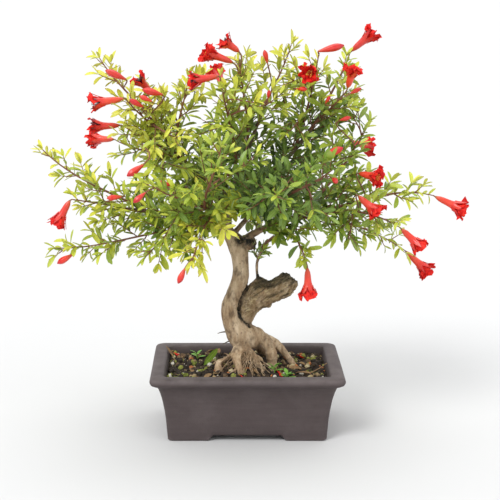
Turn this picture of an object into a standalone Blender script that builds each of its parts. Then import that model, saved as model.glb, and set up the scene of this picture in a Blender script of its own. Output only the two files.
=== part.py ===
"""Dwarf pomegranate bonsai in a rectangular unglazed pot, built in metres with +Z up.

The origin is on the table, under the centre of the pot. +X runs along the pot's long side,
and the tree's front is -Y. The pieces are the pot, two plastic screens over its drain holes,
the soil, the wood of the tree from its roots to its branchlets, the leafy sprays that carry
on from the branchlets, and the open flowers and large buds on them.
"""

import math
import random

import bmesh
import bpy
from mathutils import Matrix, Vector, noise

# The tables of the tree are in millimetres.
MM = 0.001

# Overall pot sizes, from the lip's outer edge to the feet.
POT_LENGTH = 0.180
POT_DEPTH = 0.128
POT_HEIGHT = 0.064
LIP_WIDTH = 0.013
LIP_CORNER = 0.008
LIP_EASE = 0.002
INSIDE_CORNER = 0.004
INSIDE_TAPER = 0.010
CORNER_STEPS = 2
FLOOR_TOP = 0.012
FOOT_HEIGHT = 0.0052
FOOT_REACH = 0.041
FOOT_SLOPE = 0.0046
FOOT_WALL = 0.009
DRAIN_RADIUS = 0.009
DRAIN_OFFSET = 0.038

# Outside of the pot: height, then how far the wall lies inside the lip's outer edge.
POT_OUTLINE = (
    (0.0000, 0.0160),
    (0.0200, 0.0145),
    (0.0370, 0.0120),
    (0.0470, 0.0096),
    (0.0545, 0.0064),
    (0.0560, 0.0030),
    (0.0580, 0.0005),
    (0.0605, 0.0000),
    (0.0630, 0.0010),
    (0.0640, 0.0030),
)

# Touching solids keep this much clearance.
GAP = 0.0003

SCREEN_SIDE = 0.026
SCREEN_THICKNESS = 0.001
SCREEN_CELLS = 2
SCREEN_BAR = 0.003

SOIL_LEVEL = 0.0560
SOIL_MOUND = 0.0030
SOIL_RELIEF = 0.0022
SOIL_CELLS = (9, 7)
HOLE_CLEARANCE = 0.0005

# Trunk and stub in millimetres: centre points with the wood's radius there.
TRUNK = (
    ((-4.5, 5, 76.0), 8.8),
    ((-4.8, 5, 81.5), 11.0),
    ((-7.2, 5, 89.0), 12.6),
    ((-12.0, 5, 98.5), 10.6),
    ((-15.4, 5, 108.0), 9.0),
    ((-15.4, 5, 117.5), 8.7),
    ((-11.6, 5, 127.5), 8.4),
    ((-7.8, 5, 137.0), 8.3),
    ((-5.9, 5, 147.0), 8.0),
    ((-5.9, 5, 157.0), 7.8),
    ((-6.9, 5, 166.0), 8.4),
    ((-8.2, 5, 172.5), 9.3),
    ((-11.2, 5, 179.0), 8.8),
    ((-16.0, 5, 185.5), 6.5),
    ((-18.6, 5, 192.0), 4.9),
)
STUB = (
    ((-6.0, 5.0, 96.0), 9.0),
    ((-1.0, 5.0, 106.0), 8.2),
    ((2.5, 5.0, 114.5), 9.0),
    ((7.5, 5.0, 123.0), 12.0),
    ((13.5, 5.0, 129.5), 13.4),
    ((21.0, 4.6, 130.0), 11.0),
    ((28.0, 4.0, 132.5), 10.4),
    ((35.0, 3.0, 136.5), 10.6),
    ((40.5, 2.2, 139.2), 8.6),
    ((43.5, 2.0, 140.5), 5.2),
)
# Swellings on the wood: healed cuts, the burr at the stub's end and the heads of the roots.
BURRS = (
    ((12.0, 5, 138.5), 6.0),
    ((35.5, 3, 143.0), 5.8),
    ((41.0, 2, 138.0), 6.4),
    ((1.5, 5, 178.0), 7.4),
    ((19.0, 5, 120.0), 5.2),
    ((9.0, 5, 87.0), 8.6),
)
# Roots in millimetres: route, then the radius at the trunk and in the soil.
ROOTS = (
    (((4, 5, 88), (15, 4, 85), (23, 1, 74), (25, -2, 50)), 7.0, 5.0),
    (((8, 6, 87), (26, 6, 81), (38, 6, 68), (51, 4, 50)), 5.0, 2.4),
    (((-6, 2, 82), (-11, -6, 71), (-8, -17, 64), (-1, -32, 50)), 4.8, 3.4),
    (((-1, 0, 80), (5, -7, 69), (13, -17, 62), (20, -29, 50)), 4.2, 3.0),
    (((-6, 2, 74), (-20, -4, 67), (-27, -12, 64), (-25, -20, 50)), 3.4, 3.6),
    (((-6, 8, 76), (-18, 10, 67), (-29, 9, 62), (-38, 8, 50)), 3.4, 2.4),
    (((-8, 9, 82), (-16, 20, 68), (-24, 30, 59), (-29, 35, 50)), 5.0, 2.6),
    (((4, 9, 84), (12, 23, 70), (19, 34, 59), (22, 39, 50)), 5.0, 2.6),
    (((-4, 4, 84), (-4, 3, 72), (-3, 2, 58), (-3, 2, 36)), 8.5, 5.5),
)
ROOT_RINGS = 5
TRUNK_VOXEL = 0.0016
TRUNK_FACES = 600

# Main branches in millimetres: route, then the radius at its start and its end.
BRANCHES = {
    "leader": (((-18, 5, 190), (-18, 6, 214), (-6, 5, 250), (10, 2, 292)), 4.4, 1.8),
    "left_low": (((-16, 4, 188), (-46, -2, 200), (-80, -6, 208), (-112, -10, 213)), 3.4, 1.6),
    "left_high": (((-18, 6, 204), (-42, 9, 236), (-68, 8, 266), (-86, 4, 290)), 3.0, 1.4),
    "right_low": (((-6, 4, 180), (22, -3, 196), (56, -7, 208), (88, -6, 214)), 3.6, 1.6),
    "right_high": (((-17, 6, 218), (18, 11, 240), (46, 6, 268), (66, -2, 298)), 3.0, 1.4),
    "front_left": (((-17, 3, 194), (-26, -30, 212), (-40, -62, 222)), 2.8, 1.4),
    "front_right": (((-16, 4, 210), (8, -30, 224), (34, -60, 233)), 2.8, 1.4),
    "back_left": (((-17, 8, 200), (-30, 40, 222), (-46, 72, 238)), 2.8, 1.4),
    "back_right": (((-11, 8, 188), (12, 42, 206), (40, 76, 218)), 2.8, 1.4),
    "stub_twig": (((10.5, 5, 138), (9.5, 4, 158), (13, 0, 172)), 1.8, 1.3),
}
BRANCH_RINGS = 4
ROUTE_STEPS = 25

# Leafy sprays: the branch that each leaves and how far along, its tip in millimetres, how
# much the tip turns up, the length of its side shoots in millimetres, and their number.
SPRAYS = {
    "left_reach": ("left_low", 0.80, (-188, -10, 268), 0.40, 20, 2),
    "left_low": ("left_low", 0.04, (-178, -20, 178), 0.15, 30, 2),
    "left_flower_arm": ("left_low", 1.00, (-159, -35, 226), 0.00, 22, 2),
    "low_left_front": ("left_low", 0.35, (-92, -48, 176), -0.20, 30, 2),
    "upper_left": ("left_high", 0.95, (-136, 10, 350), 0.30, 26, 2),
    "upper_left_front": ("left_high", 0.75, (-110, -25, 316), 0.20, 28, 2),
    "crest_left": ("left_high", 0.62, (-54, -10, 334), 0.30, 28, 2),
    "mid_left": ("left_high", 0.45, (-116, 3, 289), 0.00, 30, 2),
    "back_left_mid": ("back_left", 0.95, (-128, 66, 268), 0.20, 32, 2),
    "back_left_low": ("back_left", 0.50, (-112, 92, 204), -0.10, 32, 2),
    "back_centre": ("back_left", 0.80, (0, 120, 262), 0.20, 31, 2),
    "back_top": ("leader", 0.55, (-20, 86, 316), 0.30, 34, 2),
    "back_low": ("back_right", 0.70, (-4, 127, 192), -0.20, 32, 2),
    "back_right_low": ("back_right", 0.95, (104, 98, 202), -0.10, 32, 2),
    "back_right_mid": ("right_high", 0.30, (104, 88, 262), 0.20, 34, 2),
    "top_left_pair": ("leader", 0.80, (-8, -15, 351), 0.20, 26, 2),
    "top_left_front": ("leader", 0.55, (-25, -40, 336), 0.00, 30, 2),
    "top_centre": ("leader", 1.00, (40, 10, 362), 0.40, 24, 2),
    "top_right_stem": ("right_high", 0.62, (64, -15, 356), 0.30, 24, 2),
    "top_right_reach": ("right_high", 1.00, (95, 20, 354), 0.30, 24, 2),
    "right_upper": ("right_high", 0.85, (88, -30, 324), 0.30, 26, 2),
    "right_mid": ("right_low", 0.60, (113, 4, 292), 0.40, 28, 2),
    "right_reach": ("right_low", 0.90, (170, -20, 227), -0.40, 24, 2),
    "right_low": ("right_low", 0.75, (136, -50, 203), -0.40, 26, 2),
    "right_lowest": ("right_low", 0.50, (150, 12, 169), -0.40, 26, 2),
    "hanging_right": ("right_low", 0.35, (53, -60, 170), -1.00, 22, 2),
    "front_centre_left": ("front_left", 0.95, (-24, -118, 284), 0.50, 34, 2),
    "front_left": ("front_left", 0.80, (-82, -100, 248), 0.20, 32, 2),
    "front_low_bright": ("front_left", 0.60, (-49, -104, 184), -0.30, 30, 2),
    "front_centre": ("front_right", 0.70, (22, -132, 246), 0.10, 34, 3),
    "front_right": ("front_right", 1.00, (74, -92, 264), 0.30, 30, 2),
    "stub_spray": ("stub_twig", 1.00, (30, -20, 196), 0.20, 14, 1),
}
# Forks of the sprays, which fill the inside of the crown: the spray, how far along its leafy stem
# the fork leaves, and the fork's tip in millimetres.
FORKS = (
    ("top_left_front", 0.42, (22, -44, 316)),
    ("top_left_front", 0.28, (-34, -52, 296)),
    ("top_left_pair", 0.38, (-6, 26, 340)),
    ("crest_left", 0.60, (-46, 14, 326)),
    ("crest_left", 0.08, (-84, 30, 312)),
    ("top_right_stem", 0.48, (38, -26, 334)),
    ("top_right_stem", 0.06, (34, -34, 286)),
    ("top_centre", 0.12, (40, 26, 312)),
    ("upper_left_front", 0.08, (-62, -46, 284)),
    ("mid_left", 0.08, (-76, -34, 246)),
    ("right_mid", 0.78, (96, -8, 300)),
    ("right_mid", 0.28, (80, -40, 274)),
    ("right_low", 0.10, (92, -30, 188)),
    ("low_left_front", 0.12, (-58, -30, 182)),
    ("front_left", 0.10, (-70, -60, 216)),
    ("front_centre_left", 0.10, (6, -62, 268)),
    ("front_centre", 0.08, (-8, -84, 236)),
    ("front_centre", 0.16, (44, -64, 258)),
    ("front_right", 0.06, (60, -70, 222)),
)
FORK_RINGS = 3
FORK_PAIRS = (0.40, 0.75)
# Share of each spray's route that is bare wood and belongs to the tree's own solid.
WOOD_SHARE = 0.34
BRANCHLET_RADII = (0.0015, 0.0010)
STEM_RINGS = 4
STEM_RADII = (0.00095, 0.00075)
SHOOT_RADIUS = 0.00072
SHOOT_ANGLE = math.radians(48)
GOLDEN_ANGLE = math.radians(137.5)

# Flowers: the spray and how far along it the stalk leaves, then in millimetres the base and
# the mouth of the flower.
BLOOMS = {
    "spent_top": ("top_left_pair", 0.80, (-8, -14, 357), (-23, -17, 368), "spent"),
    "open_top_left": ("top_left_pair", 0.72, (-14, -22, 348), (-39, -27, 359), "open"),
    "open_top_front": ("top_left_front", 1.00, (-27, -41, 337), (-53, -45, 333), "open"),
    "bud_upper_left": ("upper_left", 0.55, (-111, -4, 331.5), (-129.5, -6, 340), "bud"),
    "spent_upper_left": ("upper_left", 0.40, (-88, -6, 320), (-101, -11, 334.5), "spent"),
    "bud_left_crest": ("upper_left_front", 0.45, (-77, -20, 319), (-95, -24, 324), "bud"),
    "open_left_crest": ("upper_left_front", 1.00, (-112, -25.5, 316), (-142, -28.5, 311), "open"),
    "open_left": ("mid_left", 1.00, (-118, 3, 289), (-146, 1, 287), "open"),
    "open_left_hanging": ("left_flower_arm", 1.00, (-161, -35.5, 225), (-174, -36.5, 203), "open"),
    "long_bud_top": ("top_right_stem", 0.97, (63, -17, 357.5), (86, -18, 363), "bud"),
    "open_top_right": ("top_right_reach", 1.00, (96.5, 20.3, 356), (117, 21, 374), "open"),
    "open_top_facing": ("top_right_stem", 0.80, (59, -22, 342), (53, -44, 340), "open"),
    "open_right_upper": ("right_upper", 1.00, (88.5, -30.5, 326), (94, -33.5, 344), "open"),
    "bud_right_front": ("front_right", 0.80, (64, -86, 272), (80, -91, 280), "bud"),
    "open_right_side": ("right_reach", 0.30, (100, -36, 250), (117, -48, 247), "open"),
    "open_right_cluster": ("right_low", 0.45, (98, -52, 232), (115, -58, 216), "open"),
    "open_right_far": ("right_reach", 1.00, (171.8, -20.3, 226), (199, -22.5, 213.5), "open"),
    "open_right_low": ("right_low", 1.00, (137.5, -50.3, 201.5), (156, -53, 185), "open"),
    "open_right_lowest": ("right_lowest", 1.00, (151.5, 12, 167.8), (173, 10, 147), "open"),
    "open_hanging": ("hanging_right", 1.00, (53, -60.2, 168), (54, -61, 142), "open"),
    "open_back_top": ("back_top", 1.00, (-21, 87.5, 317.2), (-30, 108, 332), "open"),
    "open_back_left": ("back_left_mid", 1.00, (-129.5, 67, 268.2), (-153, 78, 268), "open"),
    "open_back_right": ("back_right_mid", 1.00, (105.5, 89, 262.5), (125, 106, 258), "open"),
}
# Small buds, which belong to their sprays: the same columns, with the tip for the mouth.
BUDS = (
    ("upper_left_front", 0.70, (-94, -30, 309), (-106, -34, 316)),
    ("left_low", 0.88, (-161, -26, 173), (-175, -28, 165)),
    ("front_left", 0.95, (-88, -108, 244), (-98, -112, 236)),
    ("top_centre", 0.40, (18, 0, 346), (15, -1, 358)),
    ("right_upper", 0.75, (92, -20, 320), (102, -20, 325)),
    ("front_right", 0.60, (72, -82, 254), (75, -94, 250)),
    ("back_centre", 1.00, (0, 121.2, 262.1), (1, 132, 264)),
)
STALK_RADIUS = 0.00075
STALK_STRAIGHT = 0.0025
BLOOM_SIDES = 5
# Calyx and bud outlines: the share of the length from base to mouth, with the radius.
CALYX_PROFILE = ((0.00, 0.0010), (0.34, 0.0029), (0.72, 0.0040))
BUD_PROFILE = ((0.00, 0.0009), (0.30, 0.0024), (0.68, 0.0031), (0.92, 0.0017))
BUD_SUNK = 0.04
CALYX_WALL = 0.0011
CUP_DEPTH = 0.20
CUP_TAPER = 0.80
# Each petal is drawn out twice: rise as a share of the flower's length, widening and reach.
PETAL_STEPS = {
    "open": ((0.16, 1.28, 0.0017), (0.12, 0.62, 0.0024)),
    "spent": ((0.16, 1.12, 0.0010), (0.12, 0.60, -0.0006)),
}
BLOOM_CLEAR = 0.0036
MOUTH_CLEAR = 0.0090

LEAF_LENGTH = (0.0125, 0.0175)
LEAF_ASPECT = 0.34
LEAF_THICKNESS = 0.0007
# How far along a leaf it is widest, and how far its edges rise over its midrib.
LEAF_WIDEST = 0.48
LEAF_FOLD = 0.0006
LEAF_SUNK = 0.0003
PAIR_APART = 0.0006
LEAF_LEAN = math.radians(52)
LEAF_CLEAR = 0.0022
LEAF_PROBES = (0.34, 0.54, 0.74, 0.94)
LEAF_TRIES = 14
STEM_LEAF_SPACING = 0.050
SHOOT_PAIR = 0.6
TIP_LEAF = 0.97

POT_COLOUR = (0.105, 0.082, 0.080, 1.0)
SCREEN_COLOUR = (0.02, 0.02, 0.02, 1.0)
SOIL_COLOUR = (0.070, 0.050, 0.030, 1.0)
BARK_COLOUR = (0.36, 0.27, 0.18, 1.0)
LEAF_COLOUR = (0.16, 0.33, 0.05, 1.0)
BLOOM_COLOUR = (0.80, 0.05, 0.03, 1.0)


def new_material(name, colour, roughness):
    """A plain Principled finish."""
    material = bpy.data.materials.new(name)
    material.use_nodes = True
    shader = material.node_tree.nodes["Principled BSDF"]
    shader.inputs["Base Color"].default_value = colour
    shader.inputs["Roughness"].default_value = roughness
    shader.inputs["Metallic"].default_value = 0.0
    return material


def new_collection(name):
    collection = bpy.data.collections.new(name)
    bpy.context.scene.collection.children.link(collection)
    return collection


def new_object(name, mesh, collection, material=None):
    obj = bpy.data.objects.new(name, mesh)
    collection.objects.link(obj)
    if material:
        mesh.materials.clear()
        mesh.materials.append(material)
    return obj


def mesh_from(bm, name):
    """Recalculates the normals of a bmesh and turns it into a mesh."""
    bmesh.ops.recalc_face_normals(bm, faces=bm.faces[:])
    mesh = bpy.data.meshes.new(name)
    bm.to_mesh(mesh)
    bm.free()
    return mesh


def baked_mesh(obj, name, weld=True):
    """The mesh of an object with its modifiers, with a curve's doubled points welded."""
    graph = bpy.context.evaluated_depsgraph_get()
    mesh = bpy.data.meshes.new_from_object(obj.evaluated_get(graph))
    mesh.name = name
    mesh.transform(obj.matrix_world)
    bm = bmesh.new()
    bm.from_mesh(mesh)
    if weld:
        bmesh.ops.remove_doubles(bm, verts=bm.verts[:], dist=1e-6)
    bm.to_mesh(mesh)
    bm.free()
    return mesh


def drop_scraps(mesh):
    """Keeps only the largest joined-up body of a mesh."""
    bm = bmesh.new()
    bm.from_mesh(mesh)
    waiting = set(bm.faces)
    bodies = []
    while waiting:
        body = {waiting.pop()}
        edge_faces = list(body)
        while edge_faces:
            near = {other for edge in edge_faces.pop().edges for other in edge.link_faces} - body
            body |= near
            edge_faces.extend(near)
        waiting -= body
        bodies.append(body)
    largest = max(bodies, key=len)
    loose = [face for face in bm.faces if face not in largest]
    bmesh.ops.delete(bm, geom=loose, context="FACES")
    bm.to_mesh(mesh)
    bm.free()


def apply_boolean(obj, others, operation, solver="EXACT"):
    """Joins or cuts an object with every object of a collection, and empties that collection."""
    modifier = obj.modifiers.new("join", "BOOLEAN")
    modifier.operation = operation
    modifier.operand_type = "COLLECTION"
    modifier.collection = others
    modifier.solver = solver
    bpy.context.view_layer.update()
    keep_baked(obj, solver == "EXACT")
    drop_scraps(obj.data)
    for other in list(others.objects):
        bpy.data.objects.remove(other)
    bpy.data.collections.remove(others)


def keep_baked(obj, weld=True):
    """Applies an object's modifiers and its place."""
    mesh = baked_mesh(obj, obj.name, weld)
    obj.modifiers.clear()
    obj.data = mesh
    obj.matrix_world = Matrix.Identity(4)


def smooth_route(points, count):
    """Points evenly spaced in parameter on a Catmull-Rom curve through the given ones."""
    knots = [Vector(p) * MM for p in points]
    knots = [2 * knots[0] - knots[1]] + knots + [2 * knots[-1] - knots[-2]]
    spans = len(knots) - 3
    route = []
    for i in range(count):
        along = spans * i / (count - 1)
        k = min(int(along), spans - 1)
        t = along - k
        a, b, c, d = knots[k : k + 4]
        bend = (c - a) * t + (2 * a - 5 * b + 4 * c - d) * t**2 + (3 * b - a - 3 * c + d) * t**3
        route.append(b + 0.5 * bend)
    return route


def curved_route(start, end, out_way, in_way, count):
    """A smooth curve from start to end that leaves along out_way and arrives along in_way."""
    reach = (end - start).length
    a = start + out_way * reach / 3
    b = end - in_way * reach / 3
    route = []
    for i in range(count):
        t = i / (count - 1)
        s = 1 - t
        route.append(s**3 * start + 3 * s * s * t * a + 3 * s * t * t * b + t**3 * end)
    return route


def point_on(route, share):
    """The point at a share of a route, and the way the route runs there."""
    along = share * (len(route) - 1)
    k = min(int(along), len(route) - 2)
    return route[k].lerp(route[k + 1], along - k), (route[k + 1] - route[k]).normalized()


def tapered(start, end, count):
    return [start + (end - start) * i / (count - 1) for i in range(count)]


def tube(name, route, radii, collection, resolution):
    """A solid round bar along a route: a curve with a bevel and filled caps, as a mesh."""
    curve = bpy.data.curves.new(name, "CURVE")
    curve.dimensions = "3D"
    curve.bevel_depth = 1.0
    curve.bevel_resolution = resolution
    curve.use_fill_caps = True
    spline = curve.splines.new("POLY")
    spline.points.add(len(route) - 1)
    for point, place, radius in zip(spline.points, route, radii):
        point.co = (*place, 1.0)
        point.radius = radius
    bar = new_object(name, curve, bpy.context.scene.collection)
    bpy.context.view_layer.update()
    mesh = baked_mesh(bar, name)
    bpy.data.objects.remove(bar)
    bpy.data.curves.remove(curve)
    return new_object(name, mesh, collection)


def rod(name, ends, radii, sides, collection):
    """A straight bar of few sides between two points."""
    start, end = ends
    run = end - start
    place = Matrix.Translation((start + end) / 2) @ run.to_track_quat("Z", "Y").to_matrix().to_4x4()
    bm = bmesh.new()
    bmesh.ops.create_cone(
        bm,
        cap_ends=True,
        segments=sides,
        radius1=radii[0],
        radius2=radii[1],
        depth=run.length,
        matrix=place,
    )
    return new_object(name, mesh_from(bm, name), collection)


def block(name, centre, size, collection):
    """A plain box."""
    bm = bmesh.new()
    bmesh.ops.create_cube(bm, size=1.0, matrix=Matrix.Translation(centre) @ Matrix.Diagonal((*size, 1)))
    return new_object(name, mesh_from(bm, name), collection)


def rounded_rectangle(half_x, half_y, corner, height):
    """Corner points of a rounded rectangle, counter-clockwise."""
    points = []
    for quarter, (sx, sy) in enumerate(((1, 1), (-1, 1), (-1, -1), (1, -1))):
        for step in range(CORNER_STEPS + 1):
            angle = math.pi / 2 * (quarter + step / CORNER_STEPS)
            x = sx * (half_x - corner) + corner * math.cos(angle)
            y = sy * (half_y - corner) + corner * math.sin(angle)
            points.append(Vector((x, y, height)))
    return points


def stacked_solid(sections, name):
    """A closed solid through rounded rectangles, each extruded from the one before."""
    bm = bmesh.new()
    face = bm.faces.new([bm.verts.new(p) for p in sections[0]])
    for section in sections[1:]:
        face = bmesh.ops.extrude_discrete_faces(bm, faces=[face])["faces"][0]
        for vert, place in zip(face.verts, section):
            vert.co = place
    bmesh.ops.contextual_create(bm, geom=[e for e in bm.edges if e.is_boundary])
    return mesh_from(bm, name)


def pot_outside(height, inset):
    corner = LIP_CORNER - 0.25 * inset
    return rounded_rectangle(POT_LENGTH / 2 - inset, POT_DEPTH / 2 - inset, corner, height)


def pot_inside(height, clearance=0.0):
    """Section of the pot's hollow at a height, drawn in by the clearance."""
    rise = (height - FLOOR_TOP) / (POT_HEIGHT - FLOOR_TOP)
    inset = LIP_WIDTH + INSIDE_TAPER * (1 - min(rise, 1.0)) + clearance
    return rounded_rectangle(POT_LENGTH / 2 - inset, POT_DEPTH / 2 - inset, INSIDE_CORNER, height)


def foot_gap(name, half_width, run, along_y, cutters):
    """A bar with sloping sides that opens the gap between two feet."""
    bm = bmesh.new()
    bmesh.ops.create_cube(bm, size=2.0)
    for vert in bm.verts:
        half = half_width - FOOT_SLOPE * vert.co.z
        across = half * vert.co.x
        along = run * vert.co.y
        height = FOOT_HEIGHT * vert.co.z
        vert.co = (across, along, height) if along_y else (along, across, height)
    return new_object(name, mesh_from(bm, name), cutters)


def build_pot(collection):
    """Stoneware pot: flared wall under a rolled lip, four corner feet and two drain holes."""
    outside = [pot_outside(height, inset) for height, inset in POT_OUTLINE]
    inside = [pot_inside(POT_HEIGHT), pot_inside(POT_HEIGHT - LIP_EASE), pot_inside(FLOOR_TOP)]
    material = new_material("stoneware", POT_COLOUR, 0.75)
    pot = new_object("pot", stacked_solid(outside + inside, "pot"), collection, material)
    cutters = new_collection("pot cutters")
    reach = FOOT_REACH - FOOT_SLOPE
    side_reach = reach - (POT_LENGTH - POT_DEPTH) / 2
    foot_gap("front gap", reach, POT_DEPTH, True, cutters)
    foot_gap("side gap", side_reach, POT_LENGTH, False, cutters)
    inset = POT_OUTLINE[0][1] + FOOT_WALL
    half_x = POT_LENGTH / 2 - inset
    half_y = POT_DEPTH / 2 - inset
    levels = (-FOOT_HEIGHT, FOOT_HEIGHT)
    recess = [rounded_rectangle(half_x, half_y, INSIDE_CORNER, z) for z in levels]
    new_object("recess", stacked_solid(recess, "recess"), cutters)
    for side in (-1, 1):
        ends = [Vector((side * DRAIN_OFFSET, 0, z)) for z in (-FLOOR_TOP, 2 * FLOOR_TOP)]
        rod("drain", ends, (DRAIN_RADIUS, DRAIN_RADIUS), 16, cutters)
    apply_boolean(pot, cutters, "DIFFERENCE")


def build_screen(name, centre_x, collection):
    """Square plastic screen over a drain hole, with square openings."""
    centre = (centre_x, 0, FLOOR_TOP + GAP + SCREEN_THICKNESS / 2)
    screen = block(name, centre, (SCREEN_SIDE, SCREEN_SIDE, SCREEN_THICKNESS), collection)
    screen.data.materials.append(new_material(name, SCREEN_COLOUR, 0.5))
    cutters = new_collection(name + " cutters")
    opening = (SCREEN_SIDE - SCREEN_BAR * (SCREEN_CELLS + 1)) / SCREEN_CELLS
    pitch = opening + SCREEN_BAR
    first = -pitch * (SCREEN_CELLS - 1) / 2
    for i in range(SCREEN_CELLS):
        for j in range(SCREEN_CELLS):
            place = (centre_x + first + i * pitch, first + j * pitch, FLOOR_TOP)
            block("opening", place, (opening, opening, FLOOR_TOP), cutters)
    apply_boolean(screen, cutters, "DIFFERENCE")


def soil_height(x, y):
    """Level of the soil: a low mound round the tree, with the lumps of the top dressing."""
    mound = SOIL_MOUND * math.exp(-((x / 0.035) ** 2) - (y / 0.028) ** 2)
    lumps = SOIL_RELIEF * noise.noise(Vector((x * 90, y * 90, 3.1)))
    return SOIL_LEVEL + mound + lumps


def root_route(points):
    return smooth_route(points, ROOT_RINGS)


def build_soil(collection):
    """Soil that fills the pot, with pockets for the screens and plain holes for the roots."""
    bm = bmesh.new()
    cells_x, cells_y = SOIL_CELLS
    size = Matrix.Diagonal((POT_LENGTH / 2, POT_DEPTH / 2, 1, 1))
    bmesh.ops.create_grid(bm, x_segments=cells_x, y_segments=cells_y, size=1.0, matrix=size)
    lifted = bmesh.ops.extrude_face_region(bm, geom=bm.faces[:])["geom"]
    for vert in lifted:
        if isinstance(vert, bmesh.types.BMVert):
            vert.co.z = soil_height(vert.co.x, vert.co.y)
    bmesh.ops.triangulate(bm, faces=bm.faces[:])
    material = new_material("soil", SOIL_COLOUR, 0.95)
    soil = new_object("soil", mesh_from(bm, "soil"), collection, material)
    walls = new_collection("soil walls")
    levels = (FLOOR_TOP + GAP, POT_HEIGHT + 0.01)
    new_object("cavity", stacked_solid([pot_inside(z, GAP) for z in levels], "cavity"), walls)
    apply_boolean(soil, walls, "INTERSECT")
    cutters = new_collection("soil cutters")
    pocket = SCREEN_SIDE + 2 * GAP
    tall = 2 * (SCREEN_THICKNESS + 2 * GAP)
    for side in (-1, 1):
        block("pocket", (side * DRAIN_OFFSET, 0, FLOOR_TOP), (pocket, pocket, tall), cutters)
    for points, start, end in ROOTS:
        route = root_route(points)
        route.append(route[-1] + (route[-1] - route[-2]).normalized() * HOLE_CLEARANCE)
        radii = [radius + HOLE_CLEARANCE for radius in tapered(start * MM, end * MM, ROOT_RINGS)]
        tube("root hole", route, radii + radii[-1:], cutters, 1)
    apply_boolean(soil, cutters, "DIFFERENCE")


def smooth_radii(points):
    """Radii that match smooth_route over the same points."""
    flat = [(radius, 0, 0) for _, radius in points]
    return [p.x for p in smooth_route(flat, 2 * len(points))]


def wood_tube(name, points, collection):
    """A tube through a table of centre points with radii."""
    route = smooth_route([p for p, _ in points], 2 * len(points))
    return tube(name, route, smooth_radii(points), collection, 3)


def build_trunk(collection):
    """All the wood as one solid: roots, trunk, cut stub, main branches and branchlets."""
    trunk = wood_tube("trunk", TRUNK, collection)
    lumps = new_collection("trunk lumps")
    wood_tube("stub", STUB, lumps)
    for place, radius in BURRS:
        bm = bmesh.new()
        at = Matrix.Translation(Vector(place) * MM)
        bmesh.ops.create_icosphere(bm, subdivisions=2, radius=radius * MM, matrix=at)
        new_object("burr", mesh_from(bm, "burr"), lumps)
    apply_boolean(trunk, lumps, "UNION", "MANIFOLD")
    skin = trunk.modifiers.new("skin", "REMESH")
    skin.mode = "VOXEL"
    skin.voxel_size = TRUNK_VOXEL
    ease = trunk.modifiers.new("ease", "SMOOTH")
    ease.factor = 0.5
    ease.iterations = 3
    keep_baked(trunk)
    thin = trunk.modifiers.new("thin", "DECIMATE")
    thin.ratio = TRUNK_FACES / (2 * len(trunk.data.polygons))
    keep_baked(trunk)
    limbs = new_collection("limbs")
    for points, start, end in ROOTS:
        tube("root", root_route(points), tapered(start * MM, end * MM, ROOT_RINGS), limbs, 1)
    for points, start, end in BRANCHES.values():
        route = smooth_route(points, BRANCH_RINGS)
        tube("branch", route, tapered(start * MM, end * MM, BRANCH_RINGS), limbs, 1)
    for name in SPRAYS:
        route = spray_route(name)
        rod("branchlet", (route[0], point_on(route, WOOD_SHARE)[0]), BRANCHLET_RADII, 4, limbs)
    apply_boolean(trunk, limbs, "UNION", "MANIFOLD")
    trunk.data.materials.clear()
    trunk.data.materials.append(new_material("bark", BARK_COLOUR, 0.85))


def spray_route(name):
    """Route of a spray, from the middle of its branch to its tip."""
    branch, share, tip, rise, _, _ = SPRAYS[name]
    start, way = point_on(smooth_route(BRANCHES[branch][0], ROUTE_STEPS), share)
    end = Vector(tip) * MM
    reach = (end - start).normalized()
    out_way = (reach + 0.7 * way + Vector((0, 0, 0.25))).normalized()
    in_way = (reach + Vector((0, 0, rise))).normalized()
    return curved_route(start, end, out_way, in_way, ROUTE_STEPS)


def flower_ends(base, mouth):
    return Vector(base) * MM, Vector(mouth) * MM


def stalk_end(base, mouth):
    """Last stretch of a stalk: straight along the flower's axis to just under its base."""
    axis = (mouth - base).normalized()
    return [base - axis * STALK_STRAIGHT, base - axis * GAP]


def stem_route(name):
    """The leafy part of a spray's route, which starts just clear of its branchlet."""
    route = spray_route(name)
    first, way = point_on(route, WOOD_SHARE)
    stem = [first + way * GAP]
    for ring in range(1, STEM_RINGS):
        share = WOOD_SHARE + (1 - WOOD_SHARE) * ring / (STEM_RINGS - 1)
        stem.append(point_on(route, share)[0])
    for spray, share, base, mouth, _ in BLOOMS.values():
        if spray == name and share == 1.0:
            stem[-1:] = stalk_end(*flower_ends(base, mouth))
    return stem


def leafy_share(stem):
    """Share of a stem's route that bears leaves: all but a flower's straight stalk at its end."""
    return (STEM_RINGS - 1) / (len(stem) - 1)


def shoot_ends(name, index, stem):
    """Ends of one side shoot, which turns round the stem by the golden angle."""
    _, _, _, _, length, count = SPRAYS[name]
    draw = random.Random(f"{name} shoot {index}")
    share = leafy_share(stem) * (0.10 + 0.72 * (index + 0.5) / count)
    start, way = point_on(stem, share)
    turn = Matrix.Rotation(GOLDEN_ANGLE * index + draw.uniform(0, 1.2), 3, way)
    side = turn @ way.orthogonal().normalized()
    out = (way * math.cos(SHOOT_ANGLE) + side * math.sin(SHOOT_ANGLE)).normalized()
    out = (out + Vector((0, 0, 0.18))).normalized()
    reach = length * MM * draw.uniform(0.85, 1.15) * (1.1 - 0.35 * share)
    return start, start + out * reach


def forks_of(name, stem):
    """Routes of a spray's forks, which curve up to their tips."""
    routes = []
    for spray, share, tip in FORKS:
        if spray == name:
            start, way = point_on(stem, leafy_share(stem) * share)
            end = Vector(tip) * MM
            reach = (end - start).normalized()
            out_way = (reach + 0.5 * way).normalized()
            in_way = (reach + Vector((0, 0, 0.3))).normalized()
            routes.append(curved_route(start, end, out_way, in_way, FORK_RINGS))
    return routes


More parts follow.
